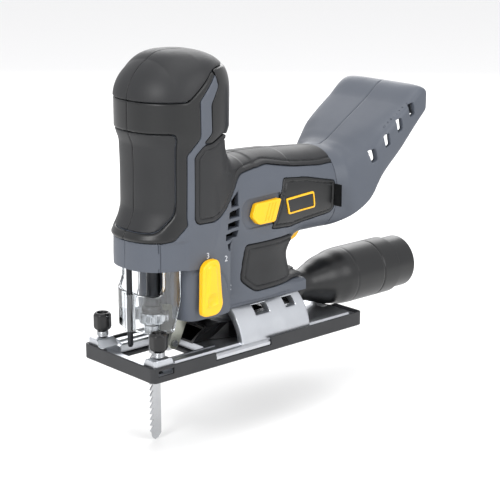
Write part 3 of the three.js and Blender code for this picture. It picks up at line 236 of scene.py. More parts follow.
def rounded(corners, radius, steps=4):
    """Outline whose corners are small quadratic arcs that start a radius before each corner."""
    made = []
    for k, corner in enumerate(np.asarray(corners, float)):
        ends = []
        for other in (np.asarray(corners[k - 1], float), np.asarray(corners[(k + 1) % len(corners)], float)):
            reach = np.linalg.norm(other - corner)
            ends.append(corner + (other - corner) * min(radius, reach * 0.45) / reach)
        for t in np.linspace(0, 1, steps + 1):
            made.append((1 - t) ** 2 * ends[0] + 2 * t * (1 - t) * corner + t * t * ends[1])
    return [tuple(p) for p in made]


def off_outline(u, v, corners):
    """Signed distance in a plane to a closed outline, negative inside it."""
    nearest, inside = np.full(u.shape, 1e9), np.zeros(u.shape, bool)
    for (u0, v0), (u1, v1) in zip(corners, corners[1:] + corners[:1]):
        du, dv = u1 - u0, v1 - v0
        t = np.clip(((u - u0) * du + (v - v0) * dv) / (du * du + dv * dv), 0, 1)
        nearest = np.minimum(nearest, (u - u0 - t * du) ** 2 + (v - v0 - t * dv) ** 2)
        if v0 != v1:
            inside ^= ((v0 > v) != (v1 > v)) & (u < du * (v - v0) / dv + u0)
    return np.where(inside, -1, 1) * np.sqrt(nearest)


def contour(field, low, high, cell):
    """Closed surface where a field of points is zero, kept sharp at its edges.

    Every grid edge that the surface crosses gives a point and a normal, and each cell's vertex
    is the point that fits the planes of its crossings best, held near their mean. Four cells
    round a crossed edge make one face.
    """
    low = np.asarray(low, float)
    count = np.ceil((np.asarray(high) - low) / cell).astype(int) + 1
    axes = [low[k] + cell * np.arange(count[k]) for k in range(3)]
    grid = np.stack(np.meshgrid(*axes, indexing="ij"), -1).reshape(-1, 3)
    value = np.concatenate([field(part) for part in np.array_split(grid, max(1, len(grid) // 400000))])
    value = value.reshape(count)
    strides = np.array([count[1] * count[2], count[2], 1])
    size = int(np.prod(count))
    rows, quads = [], []
    for k in range(3):
        here = [slice(None)] * 3
        there = [slice(None)] * 3
        here[k], there[k] = slice(0, -1), slice(1, None)
        a, b = value[tuple(here)], value[tuple(there)]
        start = np.argwhere((a < 0) != (b < 0))
        va, vb = a[tuple(start.T)], b[tuple(start.T)]
        step = np.zeros(3)
        step[k] = cell
        first = low + start * cell
        t0, t1, f0, f1 = np.zeros(len(start)), np.ones(len(start)), va.copy(), vb.copy()
        for _ in range(3):
            t = np.clip(t0 + (t1 - t0) * f0 / (f0 - f1), t0 + 0.02 * (t1 - t0), t1 - 0.02 * (t1 - t0))
            f = field(first + t[:, None] * step)
            left = (f < 0) == (f0 < 0)
            t0, f0 = np.where(left, t, t0), np.where(left, f, f0)
            t1, f1 = np.where(left, t1, t), np.where(left, f1, f)
        t = t0 + (t1 - t0) * f0 / (f0 - f1)
        point = first + t[:, None] * step
        probe = 0.02
        normal = np.stack([field(point + probe * e) - field(point - probe * e) for e in np.eye(3)], -1)
        normal /= np.maximum(np.linalg.norm(normal, axis=1, keepdims=True), 1e-9)
        base = start @ strides
        sides = [strides[(k + 1) % 3], strides[(k + 2) % 3]]
        ring = np.stack([base, base - sides[0], base - sides[0] - sides[1], base - sides[1]], 1)
        quads.append(np.where((va < 0)[:, None], ring, ring[:, ::-1]))
        for corner in ring.T:
            rows.append((corner, point, normal))
    cells = np.concatenate([r[0] for r in rows])
    point = np.concatenate([r[1] for r in rows])
    normal = np.concatenate([r[2] for r in rows])
    used, cells = np.unique(cells, return_inverse=True)
    share = np.bincount(cells)
    mean = np.stack([np.bincount(cells, point[:, k]) for k in range(3)], 1) / share[:, None]
    offset = np.einsum("ij,ij->i", normal, point - mean[cells])
    matrix = np.zeros((len(used), 3, 3))
    right = np.zeros((len(used), 3))
    for i in range(3):
        right[:, i] = np.bincount(cells, normal[:, i] * offset)
        for j in range(3):
            matrix[:, i, j] = np.bincount(cells, normal[:, i] * normal[:, j])
    matrix += np.eye(3) * 0.12
    vertex = mean + np.linalg.solve(matrix, right[:, :, None])[:, :, 0]
    index = np.stack(np.unravel_index(used, count), 1)
    corner = low + index * cell
    vertex = np.clip(vertex, corner, corner + cell)
    lookup = np.full(size, -1)
    lookup[used] = np.arange(len(used))
    return vertex, lookup[np.concatenate(quads)]


def carve(name, field, low, high, cell, material, body, *nodes, slot=None, smooth=38):
    """Piece whose surface is a field's zero: it rides on a body and stands for CAD nodes."""
    margin = cell * 1.5
    points, faces = contour(field, np.asarray(low, float) - margin, np.asarray(high, float) + margin, cell)
    piece = surface(name, points, faces, material, smooth)
    return settle(piece, body, *nodes, slot=slot)


def settle(piece, body, *nodes, slot=None):
    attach(piece, body)
    if nodes:
        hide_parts(*nodes)
    return piece


# ---------------------------------------------------------------- outside of the case
# The tall motor tower, the barrel that the hand holds, the gear case under the tower, the neck
# and the curved flange are one smooth moulded form, and every panel is let into it.
TILT_Z = 4          # height of the bevel axis
HEAD_Z = 64         # underside of the nose
PARTING = 0.12      # each half stops this far from the middle plane
SCREW_BORE = 3.3    # radius of the holes over the case screws
ROD_X = 80.7        # the finger rod in front of the blade
LEVER_X, LEVER_Z = 43.5, 43.5
BOLT_X = -20
DIAL_X, DIAL_Z = -54, 68.5
# z, rear reach, front reach from the tower's axis, half width, squareness
TOWER_X = 45.25
TOWER = [[60, 26.5, 39.3, 29.6, 2.5], [64, 27.2, 39.35, 30, 2.5], [85, 31.2, 39.0, 31, 2.4],
         [93, 32, 34.6, 31.8, 2.35], [102, 32.2, 31.6, 32.3, 2.3], [125, 32.0, 31.2, 32.6, 2.3],
         [140, 29.6, 31.6, 32.8, 2.3], [150, 34.4, 34.8, 33.4, 2.3], [167.5, 34.7, 34.7, 33.5, 2.3]]
DOME_FROM, DOME_RISE = 167.5, 28.5
BELLY = [[28, 27.2, 30.6, 27.4, 5], [36, 28.4, 30.6, 28.2, 5], [64, 30, 31, 29.3, 5], [88, 31, 33, 29.3, 4]]
NECK = [[34, -48, 30, 24.6, 2.6], [46, -44, 30, 24, 2.6], [56, -42, 30, 24, 2.6], [68, -47, 30, 25, 2.6],
        [90, -50, 30, 25, 2.6]]
BARREL = [[-76, 65.6, 121.4, 26, 2.3], [-60, 65.9, 122.8, 26.3, 2.35], [-44, 66.2, 124, 26.8, 2.4],
          [-22, 66.8, 125, 27.5, 2.5], [0, 67, 125.6, 28, 2.5], [26, 68, 125.8, 28.3, 2.4]]


def tower_form(x, y, z):
    """Motor tower: level superellipses with their own front and rear reach, closed by a dome.

    The dome is (r^m + t^m)^(1/m) = 1, where r is the share of the section and t the share of
    the rise; m falls from 3 to 2 towards the front, so that the dome leans back.
    """
    rear, front, width, squareness = along(TOWER, z)
    u = x - TOWER_X
    reach = np.where(u > 0, front, rear)
    r = ((np.abs(u) / reach) ** squareness + (np.abs(y) / width) ** squareness) ** (1 / squareness)
    t = np.clip((z - DOME_FROM) / DOME_RISE, 0, None)
    m = 3 - np.clip(1.8 * u / 34.7, 0, 1)
    return both(((r ** m + t ** m) ** (1 / m) - 1) * 32, HEAD_Z - z)


def case_form(p):
    """Distance outside the whole case, with fillets where its five forms meet."""
    x, y, z = p.T
    _, _, width, squareness = along(BELLY, z)
    belly = both(section(x - TOWER_X + 8.3, y, np.full_like(x, 20.0), width, squareness),
                 29.8 - z, z - 90)
    n_rear, n_front, n_width, n_square = along(NECK, z)
    neck = both(section(x - (n_front + n_rear) / 2, y, (n_front - n_rear) / 2, n_width, n_square),
                33 - z, z - 92)
    low, high, b_width, b_square = along(BARREL, x)
    barrel = both(section(y, z - (low + high) / 2, b_width, (high - low) / 2, b_square), -74.0 - x, x - 30)
    rho = np.hypot(y, z - TILT_Z)
    flange = both(rho - 38.4, 31.3 - rho, np.abs(y) - 21.2, slab(x, -51, 22), 30 - z)
    case = blend_min(tower_form(x, y, z), barrel, 9)
    case = blend_min(case, both(neck, z - 92), 6)
    case = blend_min(case, belly, 2.2)
    case = blend_min(case, flange, 3)
    return both(case, np.where(x < 17.2, 33.3 - rho, -9.0))


def skin_y(x, z):
    """Half width of the case at a side point, by halving an interval that holds it."""
    near, far = 2.0, 45.0
    for _ in range(30):
        middle = (near + far) / 2
        if case_form(np.array([[x, middle, z]]))[0] < 0:
            near = middle
        else:
            far = middle
    return near


# Side outlines in X and Z of everything let into the case.
CAP = rounded([(100, 168.3), (58.4, 168.3), (37.6, 186), (25, 186.8), (-20, 186.8), (-20, 230),
               (100, 230)], 4)
PALM = rounded([(100, 88.4), (75, 88.4), (65.4, 99), (64.2, 106), (64.2, 149.6), (100, 149.6)], 4.5)
NOSE_SHROUD = rounded([(100, 168.3), (58.4, 168.3), (38.6, 185.2), (36.2, 183.2), (49.9, 168.4),
                       (49.3, 145.9), (58.2, 135.9), (58.6, 97), (58, 92.4), (66, 84.4), (72, 82.6),
                       (100, 82.6)], 1.6)
REAR_SHROUD = rounded([(37.0, 186.2), (34.6, 176), (41.0, 165.6), (40.6, 148), (46.6, 142.2), (40.5, 141.6),
                       (30, 146), (4, 140), (-20, 140), (-20, 186.8), (25, 186.8)], 1.6)
REAR_GRIP = rounded([(46.4, 141.4), (53.6, 134.6), (53.6, 96), (51.2, 92.4), (36.6, 92), (27.5, 98.5),
                     (14, 113), (8.5, 116.8), (-15, 119.6), (-38, 115), (-62, 112.6), (-90, 112.6),
                     (-90, 139.8), (4, 139.8), (30, 145.8), (40.5, 141.4)], 3)
SADDLE = rounded([(6, 70.4), (9.4, 47), (-2.4, 37.8), (-72, 37.8), (-72, 60), (-44, 63), (-37, 70.4)], 3.5)
BADGE = rounded([(-25.4, 109.6), (-14.8, 77.8), (-34, 76), (-69.6, 79.6), (-72.6, 82), (-72.6, 101.6),
                 (-46, 107.6)], 2.2)
RECESS = rounded([(-16.4, 81.2), (6.4, 81.0), (12.4, 88.2), (12.2, 97), (8.4, 101), (-22, 101.4)], 2.5)
CELL, PANEL_CELL = 0.95, 0.75     # grid steps


def vent(k):
    """Side air slot: level ones, with a slanted top one and a small tapered one below."""
    z = 70.6 + 6.9 * k
    slant = [0, 0, 0.2, 1.0, 5.2][k]
    front = [24.6, 26.6, 25.4, 24.0, 22.4][k]
    rear = [17.4, 13.8, 14.0, 14.2, 14.8][k]
    foot = [19.6, 14.0, 14.0, 14.2, 15.4][k]
    return [(foot, z), (front - 1.2 * (k == 0), z), (front, z + 4.1), (rear, z + 4.3 + slant)]


def let_in(outline, proud=0.0, gap=0.22, thick=1.7, edge=1.1, groove=None, extra=None):
    """Field of a left panel: the case's skin inside an outline, with rounded edges.

    groove is how far inside the edge a fine line runs, and extra adds its own relief.
    """
    def field(p):
        x, y, z = p.T
        rim = off_outline(x, z, outline)
        form = case_form(p)
        top = form - proud
        if groove:
            top = top + 0.55 * np.exp(-((rim + groove) / 0.55) ** 2)
        if extra:
            top = top + extra(x, y, z)
        return both(blend_max(blend_max(top, rim + gap, edge), PARTING - y, 0.7), -(form + thick))
    return field


def guard_plan(x, y, inset=0.0):
    """Distance outside the guard's plan: straight arms and a squarish round nose."""
    u = np.maximum(x - 68, 0)
    return section(u, y, 12.5 - inset, 22.5 - inset, 2.4)


SCREW_PLACES = [(40, 184), (-66, 76)]


def rear_louvres(x, y, z):
    """Five pairs of air slots across the back of the tower."""
    k = np.clip(np.round((z - 154.3) / 6), 0, 4)
    return both(np.abs(z - 154.3 - 6 * k) - 1.35, slab(y, 4.6, 17), slab(x, 0, 24))


def case_half(side):
    """Field of one shell, as if it were the left one: 3.9 mm wall, panel rooms and every opening."""
    def field(p):
        x, y, z = p.T
        form = case_form(p)
        # the grey nose stands half a millimetre inside the black lip over it
        nose = 0.6 * np.clip((83.2 - z) / 0.8, 0, 1) * np.clip((x - 57) / 3, 0, 1)
        shell = form + nose
        for outline, depth in PANEL_ROOMS:
            rim = off_outline(x, z, outline)
            shell = blend_max(shell, -both(rim - 0.18, -(form + depth)), 0.8)
        hollow = both(form + 3.9, np.where(z < 67, x - 47.5, -9.0), -79.5 - x)
        shell = both(shell, -hollow)
        for k in range(5):
            shell = blend_max(shell, -both(off_outline(x, z, vent(k)), 15 - y), 0.7)
        shell = both(shell, -rear_louvres(x, y, z))
        shell = blend_max(shell, -both(off_outline(x, z, RECESS), 25.9 - y), 0.7)
        shell = both(shell, -both(slab(x, -15.6, -0.1), slab(z, 88, 94), 12 - y))
        channel = both(slab(x, 50.1, 70), np.abs(y) - 11, z - HEAD_Z)
        arm = both(slab(x, 36, 70), np.abs(y) - 8.8, z - 35)
        off_axis = np.maximum(x - 62.8, 0) + np.minimum(x - 61.8, 0)
        mouth = both(section(off_axis, y, 8.3, 8.3, 2), slab(z, 60, 69))
        guard = both(np.abs(guard_plan(x, y) + 0.9) - 1.35, slab(z, 60, 84), slab(x, 56.6, 76.5))
        rod = both(np.hypot(x - ROD_X, y) - 2.15, slab(z, 60, 72))
        dial = both(slab(x, -64.6, -43.4), np.abs(y) - 3.7, z - 78.2)
        bolt = both(np.hypot(x - BOLT_X, y) - 3.3, slab(z, 20, 60))
        for room in (channel, arm, mouth, guard, rod, dial, bolt):
            shell = both(shell, -room)
        if side > 0:
            shell = both(shell, -both(np.hypot(x - LEVER_X, z - LEVER_Z) - 4.4, 10 - y))
            arc = np.abs(np.hypot(x - LEVER_X, z - LEVER_Z) - 19.2)
            shell = shell + 0.4 * np.exp(-(arc / 0.7) ** 2) * (z > 44) * (x < 52) * (y > 20)
        else:
            for sx, sz in SCREW_PLACES:
                shell = both(shell, -both(np.hypot(x - sx, z - sz) - SCREW_BORE, 15 - y))
        return both(blend_max(shell, PARTING - y, 0.7), -74 - x)
    return field


PANEL_ROOMS = [(CAP, 1.9), (PALM, 2.3), (NOSE_SHROUD, 1.9), (REAR_SHROUD, 1.9), (REAR_GRIP, 1.9),
               (SADDLE, 1.9), (BADGE, 2.1)]


def mirrored(piece_name, source, body, *nodes, slot=None):
    """Right-hand copy of a left piece: Y turned over, and its faces with it."""
    mesh = source.data.copy()
    points = np.empty(len(mesh.vertices) * 3)
    mesh.vertices.foreach_get("co", points)
    points = points.reshape(-1, 3) * [1, -1, 1]
    mesh.vertices.foreach_set("co", points.ravel())
    mesh.flip_normals()
    mesh.update()
    piece = bpy.data.objects.new(piece_name, mesh)
    scene.collection.objects.link(piece)
    return settle(piece, body, *nodes, slot=slot)


def flipped(field):
    """The same field seen from the other side of the middle plane."""
    return lambda p: field(p * [1, -1, 1])


def with_holes(field, places):
    """A panel's field with screw holes through it."""
    def holed(p):
        x, _, z = p.T
        return reduce(lambda f, c: both(f, SCREW_BORE - np.hypot(x - c[0], z - c[1])), places, field(p))
    return holed


CASE_LOW, CASE_HIGH = [-75, 0, 29], [86, 36, 197]
carve("housing_shell_left", case_half(1), CASE_LOW, CASE_HIGH, CELL, GREY_ABS, "housing", "housing_left",
      slot="shell")
carve("housing_shell_right", flipped(case_half(-1)), [-75, -36, 29], [86, 0, 197], CELL, GREY_ABS, "housing",
      "housing_right", slot="shell")

# ---------------------------------------------------------------- soft cap, palm panel and grips
# TPE moulded over the case: a smooth cap, a palm panel in the waist of the tower, two raised pads
# on the barrel and a border line round the rear grip and the saddle.


def barrel_pads(x, y, z):
    """Two pads across the top of the barrel, raised half a millimetre with soft edges."""
    first = both(slab(x, 3.5, 24), 119.5 - z, z - 131)
    second = both(slab(x, -35, -5.5), 117.0 - z)
    return -0.55 * sum(1 / (1 + np.exp(np.clip(pad / 0.35, -30, 30))) for pad in (first, second))


def cap_facet(x, y, z):
    """Shallow flat side facet at the back of the cap."""
    return 0.7 / (1 + np.exp(np.clip(((x - 43) + 0.55 * (z - 172)) / 2.2, -30, 30)))


def louvre_cut(field):
    """The same field with the rear air slots cut through."""
    def cut(p):
        x, y, z = p.T
        return both(field(p), -rear_louvres(x, y, z))
    return cut


def dial_cut(field):
    """The same field with room for the speed dial."""
    def cut(p):
        x, y, z = p.T
        return both(field(p), -both(slab(x, -64.6, -43.4), np.abs(y) - 3.7, z - 78.2))
    return cut


def nose_shroud_field(p):
    """Black shroud round the front of the tower, with room for the palm panel and a proud lip."""
    x, _, z = p.T
    lip = -0.5 * np.exp(-((z - 84.6) / 1.5) ** 2)
    base = let_in(NOSE_SHROUD, 0.0, extra=lambda a, b, c: lip)(p)
    return blend_max(base, -(off_outline(x, z, PALM) - 0.22), 0.9)


PANELS = [
    ("cap_skin", let_in(CAP, 0.3, extra=cap_facet), BLACK_TPE, "cap", [14, 0, 167], [80, 36, 198], "rubber"),
    ("palm_skin", let_in(PALM, -0.5, thick=2.1, edge=1.5), BLACK_TPE, "palm_panel", [62, 0, 87],
     [86, 33, 151], "rubber"),
    ("nose_shroud", nose_shroud_field, BLACK_NYLON, None, [35, 0, 81], [87, 36, 187], "black"),
    ("rear_shroud", louvre_cut(let_in(REAR_SHROUD, 0.0)), BLACK_NYLON, None, [2, 0, 137], [48, 36, 188],
     "black"),
    ("rear_grip_skin", let_in(REAR_GRIP, 0.35, edge=1.6, groove=3.2, extra=barrel_pads), BLACK_TPE,
     "rear_grip", [-75, 0, 90], [55, 35, 147], "rubber"),
    ("saddle_skin", dial_cut(let_in(SADDLE, 0.5, edge=2.0, groove=3.4)), BLACK_TPE, "saddle_grip",
     [-53, 0, 36], [11, 31, 72], "rubber"),
    ("badge_skin", let_in(BADGE, 0.2, thick=1.9, groove=2.6), BLACK_NYLON, "badge_panel", [-75, 8, 74],
     [-13, 30, 111], "black"),
]


for name, field, material, node, low, high, slot in PANELS:
    left = carve(f"{name}_left", field, low, high, PANEL_CELL, material, "housing",
                 *([f"{node}_left"] if node else []), slot=slot)
    holes = [place for place in SCREW_PLACES if low[0] < place[0] < high[0] and low[2] < place[1] < high[2]]
    if holes:
        carve(f"{name}_right", flipped(with_holes(field, holes)), [low[0], -high[1], low[2]],
              [high[0], -low[1], high[2]], PANEL_CELL, material, "housing",
              *([f"{node}_right"] if node else []), slot=slot)
    else:
        mirrored(f"{name}_right", left, "housing", *([f"{node}_right"] if node else []), slot=slot)

# ---------------------------------------------------------------- battery foot
# Two ABS halves that flare from the barrel into a slanted, open-bottomed seat, with a rail
# along each side and four slanted slots in each wall.
FACE_SLOPE = -1.0581
FOOT = [[-150, 141, 157, 37.2, 6], [-145, 135.7, 158.6, 38, 6], [-126, 115.6, 146.8, 38, 6],
        [-107, 95.5, 134.8, 37.5, 5], [-96, 73.5, 127.8, 35.4, 3.8], [-88, 67.5, 123, 32, 3],
        [-82, 65.9, 121.2, 28.5, 2.5], [-74, 65.6, 121.6, 26, 2.3]]


def foot_half(screw):
    """Field of one half of the foot: sections along X, hollow, cut by the slanted face."""
    def field(p):
        x, y, z = p.T
        low, high, width, squareness = along(FOOT, x)
        form = section(y, z - (low + high) / 2, width, (high - low) / 2, squareness)
        face = (95.5 + (x + 107) * FACE_SLOPE - z) / math.hypot(1, FACE_SLOPE)
        outer = blend_max(blend_max(form, face, 1.2), -149.8 - x, 2.5)
        hollow = both(form + 3.2, -146.4 - x)
        seat = both(np.abs(y) - 34.4, face - 20, -146.4 - x, x + 109.5, z - high + 3.6)
        rail = both(slab(x, -144, -112), 30.6 - y, slab(-face, 1.5, 5.5))
        shell = blend_max(outer, -np.minimum(hollow, seat), 0.5)
        shell = np.minimum(shell, both(rail, outer + 0.4))
        for k in range(4):
            sx, sz = -97.5 - 11.4 * k, 111 + 9.2 * k
            slot_shape = rounded([(sx, sz), (sx - 4.6, sz + 1.6), (sx - 3, sz + 9.6), (sx + 1.6, sz + 8)], 1)
            shell = blend_max(shell, -off_outline(x, z, slot_shape), 0.7)
        if screw:
            shell = both(shell, -both(np.hypot(x + 92, z - 86) - SCREW_BORE, 15 - y))
        return both(blend_max(shell, PARTING - y, 0.7), x + 74.35)
    return field


carve("foot_shell_left", foot_half(False), [-150, 0, 65], [-74, 38, 160], CELL, GREY_ABS, "housing",
      "foot_left", slot="shell")
carve("foot_shell_right", flipped(foot_half(True)), [-150, -38, 65], [-74, 0, 160], CELL, GREY_ABS, "housing",
      "foot_right", slot="shell")

# ---------------------------------------------------------------- blank badge plate and dial numbers
# A black plate in a raised yellow border on each side, and the lever's scale in grey print.
BORDER = rounded([(-25.6, 96.4), (-28.6, 85.4), (-53.4, 86.4), (-51.6, 97.6)], 1.4)
INNER = rounded([(-26.8, 95.3), (-29.5, 86.6), (-52.2, 87.5), (-50.7, 96.3)], 0.9)


def frame_only(field):
    """The border's field with the plate's room cut out of it."""
    def cut(p):
        x, _, z = p.T
        return both(field(p), -off_outline(x, z, INNER))
    return cut


badge_border = frame_only(let_in(BORDER, 0.95, gap=0, thick=0.5, edge=0.4))
badge_plate = let_in(INNER, 0.6, gap=0, thick=0.5, edge=0.3)
for name, field, material in [("badge_border", badge_border, YELLOW_ABS),
                              ("badge_plate", badge_plate, GLOSS_BLACK)]:
    left = carve(f"{name}_left", field, [-54, 20, 84.5], [-25, 30, 98.5], 0.42, material, "housing")
    mirrored(f"{name}_right", left, "housing")

PRINT_GREY = moulded("pale_grey_print", "#c9ccd1", "#bfc2c7", 0.5, 0.5, 0.01)
for digit, x, z in [("3", 42.8, 71.2), ("2", 26.6, 66.2), ("1", 18.6, 56.4), ("0", 16.2, 43.6)]:
    text = bpy.data.curves.new(f"digit_{digit}", "FONT")
    text.body, text.size, text.extrude = digit, 5.2 * MM, 0.12 * MM
    text.align_x, text.align_y = "CENTER", "CENTER"
    drawn = bpy.data.objects.new(f"digit_{digit}_text", text)
    scene.collection.objects.link(drawn)
    mesh = bpy.data.meshes.new_from_object(drawn.evaluated_get(bpy.context.evaluated_depsgraph_get()))
    bpy.data.objects.remove(drawn)
    flat = np.empty(len(mesh.vertices) * 3)
    mesh.vertices.foreach_get("co", flat)
    flat = flat.reshape(-1, 3)
    there = np.stack([x * MM - flat[:, 0], (skin_y(x, z) + 0.02) * MM + flat[:, 2], z * MM + flat[:, 1]], 1)
    mesh.vertices.foreach_set("co", there.ravel())
    mesh.materials.clear()
    mesh.materials.append(PRINT_GREY)
    number = bpy.data.objects.new(f"dial_number_{digit}", mesh)
    scene.collection.objects.link(number)
    settle(number, "housing")

# ---------------------------------------------------------------- orbit lever
# Moulded yellow lever on the left side: a broad thumb ridge up its middle and a dished hub.
LEVER_OUTLINE = rounded([(LEVER_X + u, LEVER_Z + w) for u, w in [
    (-7, 23), (-4.5, 26), (2.5, 25.6), (6.8, 21.5), (7.2, 0), (7.5, -8.5), (4.5, -10), (-5.5, -10),
    (-9.6, -4.5), (-8.6, 2.5)]], 4, 4)


def lever_form(p):
    """Rounded slab with a ridge that stands 2 mm over the plate and a dish at the hub."""
    x, y, z = p.T
    rim = off_outline(x, z, LEVER_OUTLINE)
    plate = blend_max(blend_max(rim, y - 35.4, 1.6), 31 - y, 0.5)
    ridge_line = rounded([(40.6, 66.2), (46.6, 66.4), (48.2, 40), (38.6, 40)], 2.5)
    ridge = blend_max(blend_max(off_outline(x, z, ridge_line), y - 37, 1.4), 32 - y, 0.5)
    dish = np.hypot(np.hypot(x - LEVER_X, z - LEVER_Z), y - 42) - 7.2
    return blend_max(blend_min(plate, ridge, 1.2), -dish, 0.6)


carve("orbit_lever_grip", lever_form, [33, 30.5, 33], [52, 37.5, 70.5], 0.45, YELLOW_ABS, "orbit_lever",
      "orbit_lever", slot="yellow")

# ---------------------------------------------------------------- power buttons
# Yellow slide on each side: a ribbed rear, a smooth pointed front facet and a stem through the case.
BUTTON_OUTLINE = rounded([(-19.8, 98.2), (-14.6, 83.6), (-0.6, 83.5), (4.7, 89), (1.6, 97.4)], 1.8, 4)


def button_form(p):
    """Rounded slab, its face stepped down at the front and cut by five finger grooves."""
    x, y, z = p.T
    slant = x + (z - 91) * 0.36
    ribbed = (np.abs(slant + 10.8) < 4.3) * (np.abs(z - 91) < 5.4)
    grooves = 0.55 * np.clip(np.cos((slant + 15.6) * 2 * math.pi / 2.7), 0, 1) * ribbed
    face = y - 30.6 + grooves + 0.1 * np.clip(slant + 4.5, 0, None)
    body = blend_max(blend_max(off_outline(x, z, BUTTON_OUTLINE), face, 1.1), 26.2 - y, 0.4)
    return blend_min(body, both(slab(x, -15, -7), slab(z, 88.5, 93.5), slab(y, 14, 27)), 0.3)


left = carve("button_left", button_form, [-21, 13.5, 83], [5.5, 31.2, 99], 0.45, YELLOW_ABS, "power_button",
             "power_button_left", slot="yellow")
mirrored("button_right", left, "power_button", "power_button_right", slot="yellow")

# ---------------------------------------------------------------- metals of the running gear and base
# Cast, turned, ground and plated metals differ in their grain: pits, lathe rings or fine scratches.


def metal(name, colour, shade, roughness, grain, depth, stretch=(1, 1, 1)):
    """Bare metal: noise of the given grain in mm, squeezed along the directions it is drawn out in."""
    material, tree = blank_material(name)
    where = add(tree, "ShaderNodeTexCoord").outputs["Object"]
    drawn = add(tree, "ShaderNodeMapping", {"Vector": where, "Scale": stretch})
    marks = add(tree, "ShaderNodeTexNoise", {"Vector": drawn.outputs[0], "Scale": 1 / (grain * MM),
                                             "Detail": 4.0})
    cloud = add(tree, "ShaderNodeTexNoise", {"Vector": where, "Scale": 1 / (9 * MM), "Detail": 3.0})
    tint = add(tree, "ShaderNodeMix", {0: cloud.outputs["Fac"], 6: linear(colour), 7: linear(shade)},
               data_type="RGBA")
    gloss = add(tree, "ShaderNodeMapRange", {"Value": marks.outputs["Fac"], "From Min": 0.3, "From Max": 0.7,
                                             "To Min": roughness - 0.06, "To Max": roughness + 0.08})
    bump = add(tree, "ShaderNodeBump", {"Strength": 0.4, "Distance": depth * MM,
                                        "Height": marks.outputs["Fac"]})
    skin = add(tree, "ShaderNodeBsdfPrincipled", {
        "Base Color": tint.outputs[2], "Roughness": gloss.outputs[0], "Normal": bump.outputs[0],
        "Metallic": 1.0})
    add(tree, "ShaderNodeOutputMaterial", {"Surface": skin.outputs[0]})
    return material


CAST_ALUMINIUM = metal("cast_aluminium", "#c4c7cb", "#b3b6bb", 0.36, 0.5, 0.05)
TURNED_STEEL = metal("turned_steel", "#b9bbbd", "#a6a8ab", 0.24, 0.35, 0.02, (1, 1, 6))
GROUND_STEEL = metal("ground_blade_steel", "#c3c4c6", "#aeb0b3", 0.3, 0.25, 0.02, (1, 1, 8))
ZINC_PLATE = metal("zinc_plate", "#b5b6b0", "#a7a998", 0.33, 0.7, 0.02)
BLACKENED = metal("blackened_steel", "#3b3c3f", "#2e2f31", 0.38, 0.4, 0.02)
COPPER = metal("enamelled_copper", "#a8602f", "#8b4a22", 0.3, 0.4, 0.1, (1, 1, 5))
BRASS = metal("sintered_brass", "#b59a55", "#a08644", 0.4, 0.4, 0.04)
SHOE_PLASTIC = moulded("charcoal_shoe", "#26272a", "#1f2022", 0.5, 0.6, 0.06)
BOARD_GREEN = moulded("circuit_board", "#1f5a36", "#184a2b", 0.32, 0.8, 0.03)


def plan_rect(x, y, half_x, half_y, radius):
    """Distance outside a rectangle with round corners, seen from above."""
    u, v = np.abs(x) - half_x + radius, np.abs(y) - half_y + radius
    return np.hypot(np.maximum(u, 0), np.maximum(v, 0)) + np.minimum(np.maximum(u, v), 0) - radius


def base_cuts(x, y, z, window_y, rear):
    """Everything cut through the base: blade window, fence slots, key hole and the nozzle's room."""
    middle = (rear + 76) / 2
    window = plan_rect(x - middle, y, 76 - middle, window_y, 4)
    fence = both(slab(x, 75, 87), slab(z, 3.9, 7.6))
    key = np.hypot(x - BOLT_X, y) - 7
    relief = both(np.hypot(y, z - 25) - 18.6, x + 82)
    return reduce(np.minimum, (window, fence, key, relief))


# ---------------------------------------------------------------- cast base plate
# Die-cast aluminium: a ribbed plate with long rails, two sloped blocks that carry the fence
# screws and a half-round arch that the case tilts on.


def base_form(p):
    """Plate, rails, blocks and arch joined with small fillets, then cut."""
    x, y, z = p.T
    side = np.abs(y)
    plan = plan_rect(x, y, 89.1, 34.1, 3)
    plate = blend_max(both(plan, 2.3 - z), z - 7.5, 0.8)
    rise = z - 7.5
    rail = both(slab(x, -83, 70), slab(side, 25.1 + 0.4 * rise, 30.7 - 0.4 * rise), 6 - z)
    rail = blend_max(rail, z - 9, 0.5)
    ledge = both(slab(x, -5.4, 40.4), slab(side, 32, 35.6), slab(z, 4.4, 8))
    ledge = blend_max(ledge, z - 7.4 - 0.5 * (34 - side), 0.4)
    fence = both(plan, slab(x, 73.4 + 0.3 * rise, 88.6), 22.4 + 0.42 * rise - side, 6 - z)
    fence = blend_max(fence, z - 13.4, 1.0)
    rho = np.hypot(y, z - TILT_Z)
    arch = both(blend_max(both(rho - 33, 28 - rho), slab(x, -44, 16), 0.8), 6 - z)
    window = both(slab(z, 23, 28.5), np.minimum(slab(x, -13, -1), slab(x, -36, -27.5)))
    arch = blend_max(arch, -window, 0.8)
    lip = both(slab(x, 30, 72), np.abs(side - 21.4) - 0.9, slab(z, 6, 8.4))
    form = reduce(lambda a, b: blend_min(a, b, 0.9), (plate, rail, fence, arch, lip, ledge))
    form = blend_max(form, -base_cuts(x, y, z, 20, 36), 0.6)
    slot_across = both(slab(x, -23.5, -16.5), np.abs(np.arctan2(y, z - TILT_Z)) * 30 - 13.6, z - 60, 20 - z)
    form = both(form, -slot_across)
    return both(form, 2.7 - np.hypot(x - 81, side - 28.5))


carve("base_casting", base_form, [-90, -36.2, 2], [90, 36.2, 38], 0.85, CAST_ALUMINIUM, "base", "base_plate",
      slot="cast", smooth=32)

# ---------------------------------------------------------------- anti-scratch shoe
# Charcoal nylon tray clipped under the casting, its rim low beside the rails.


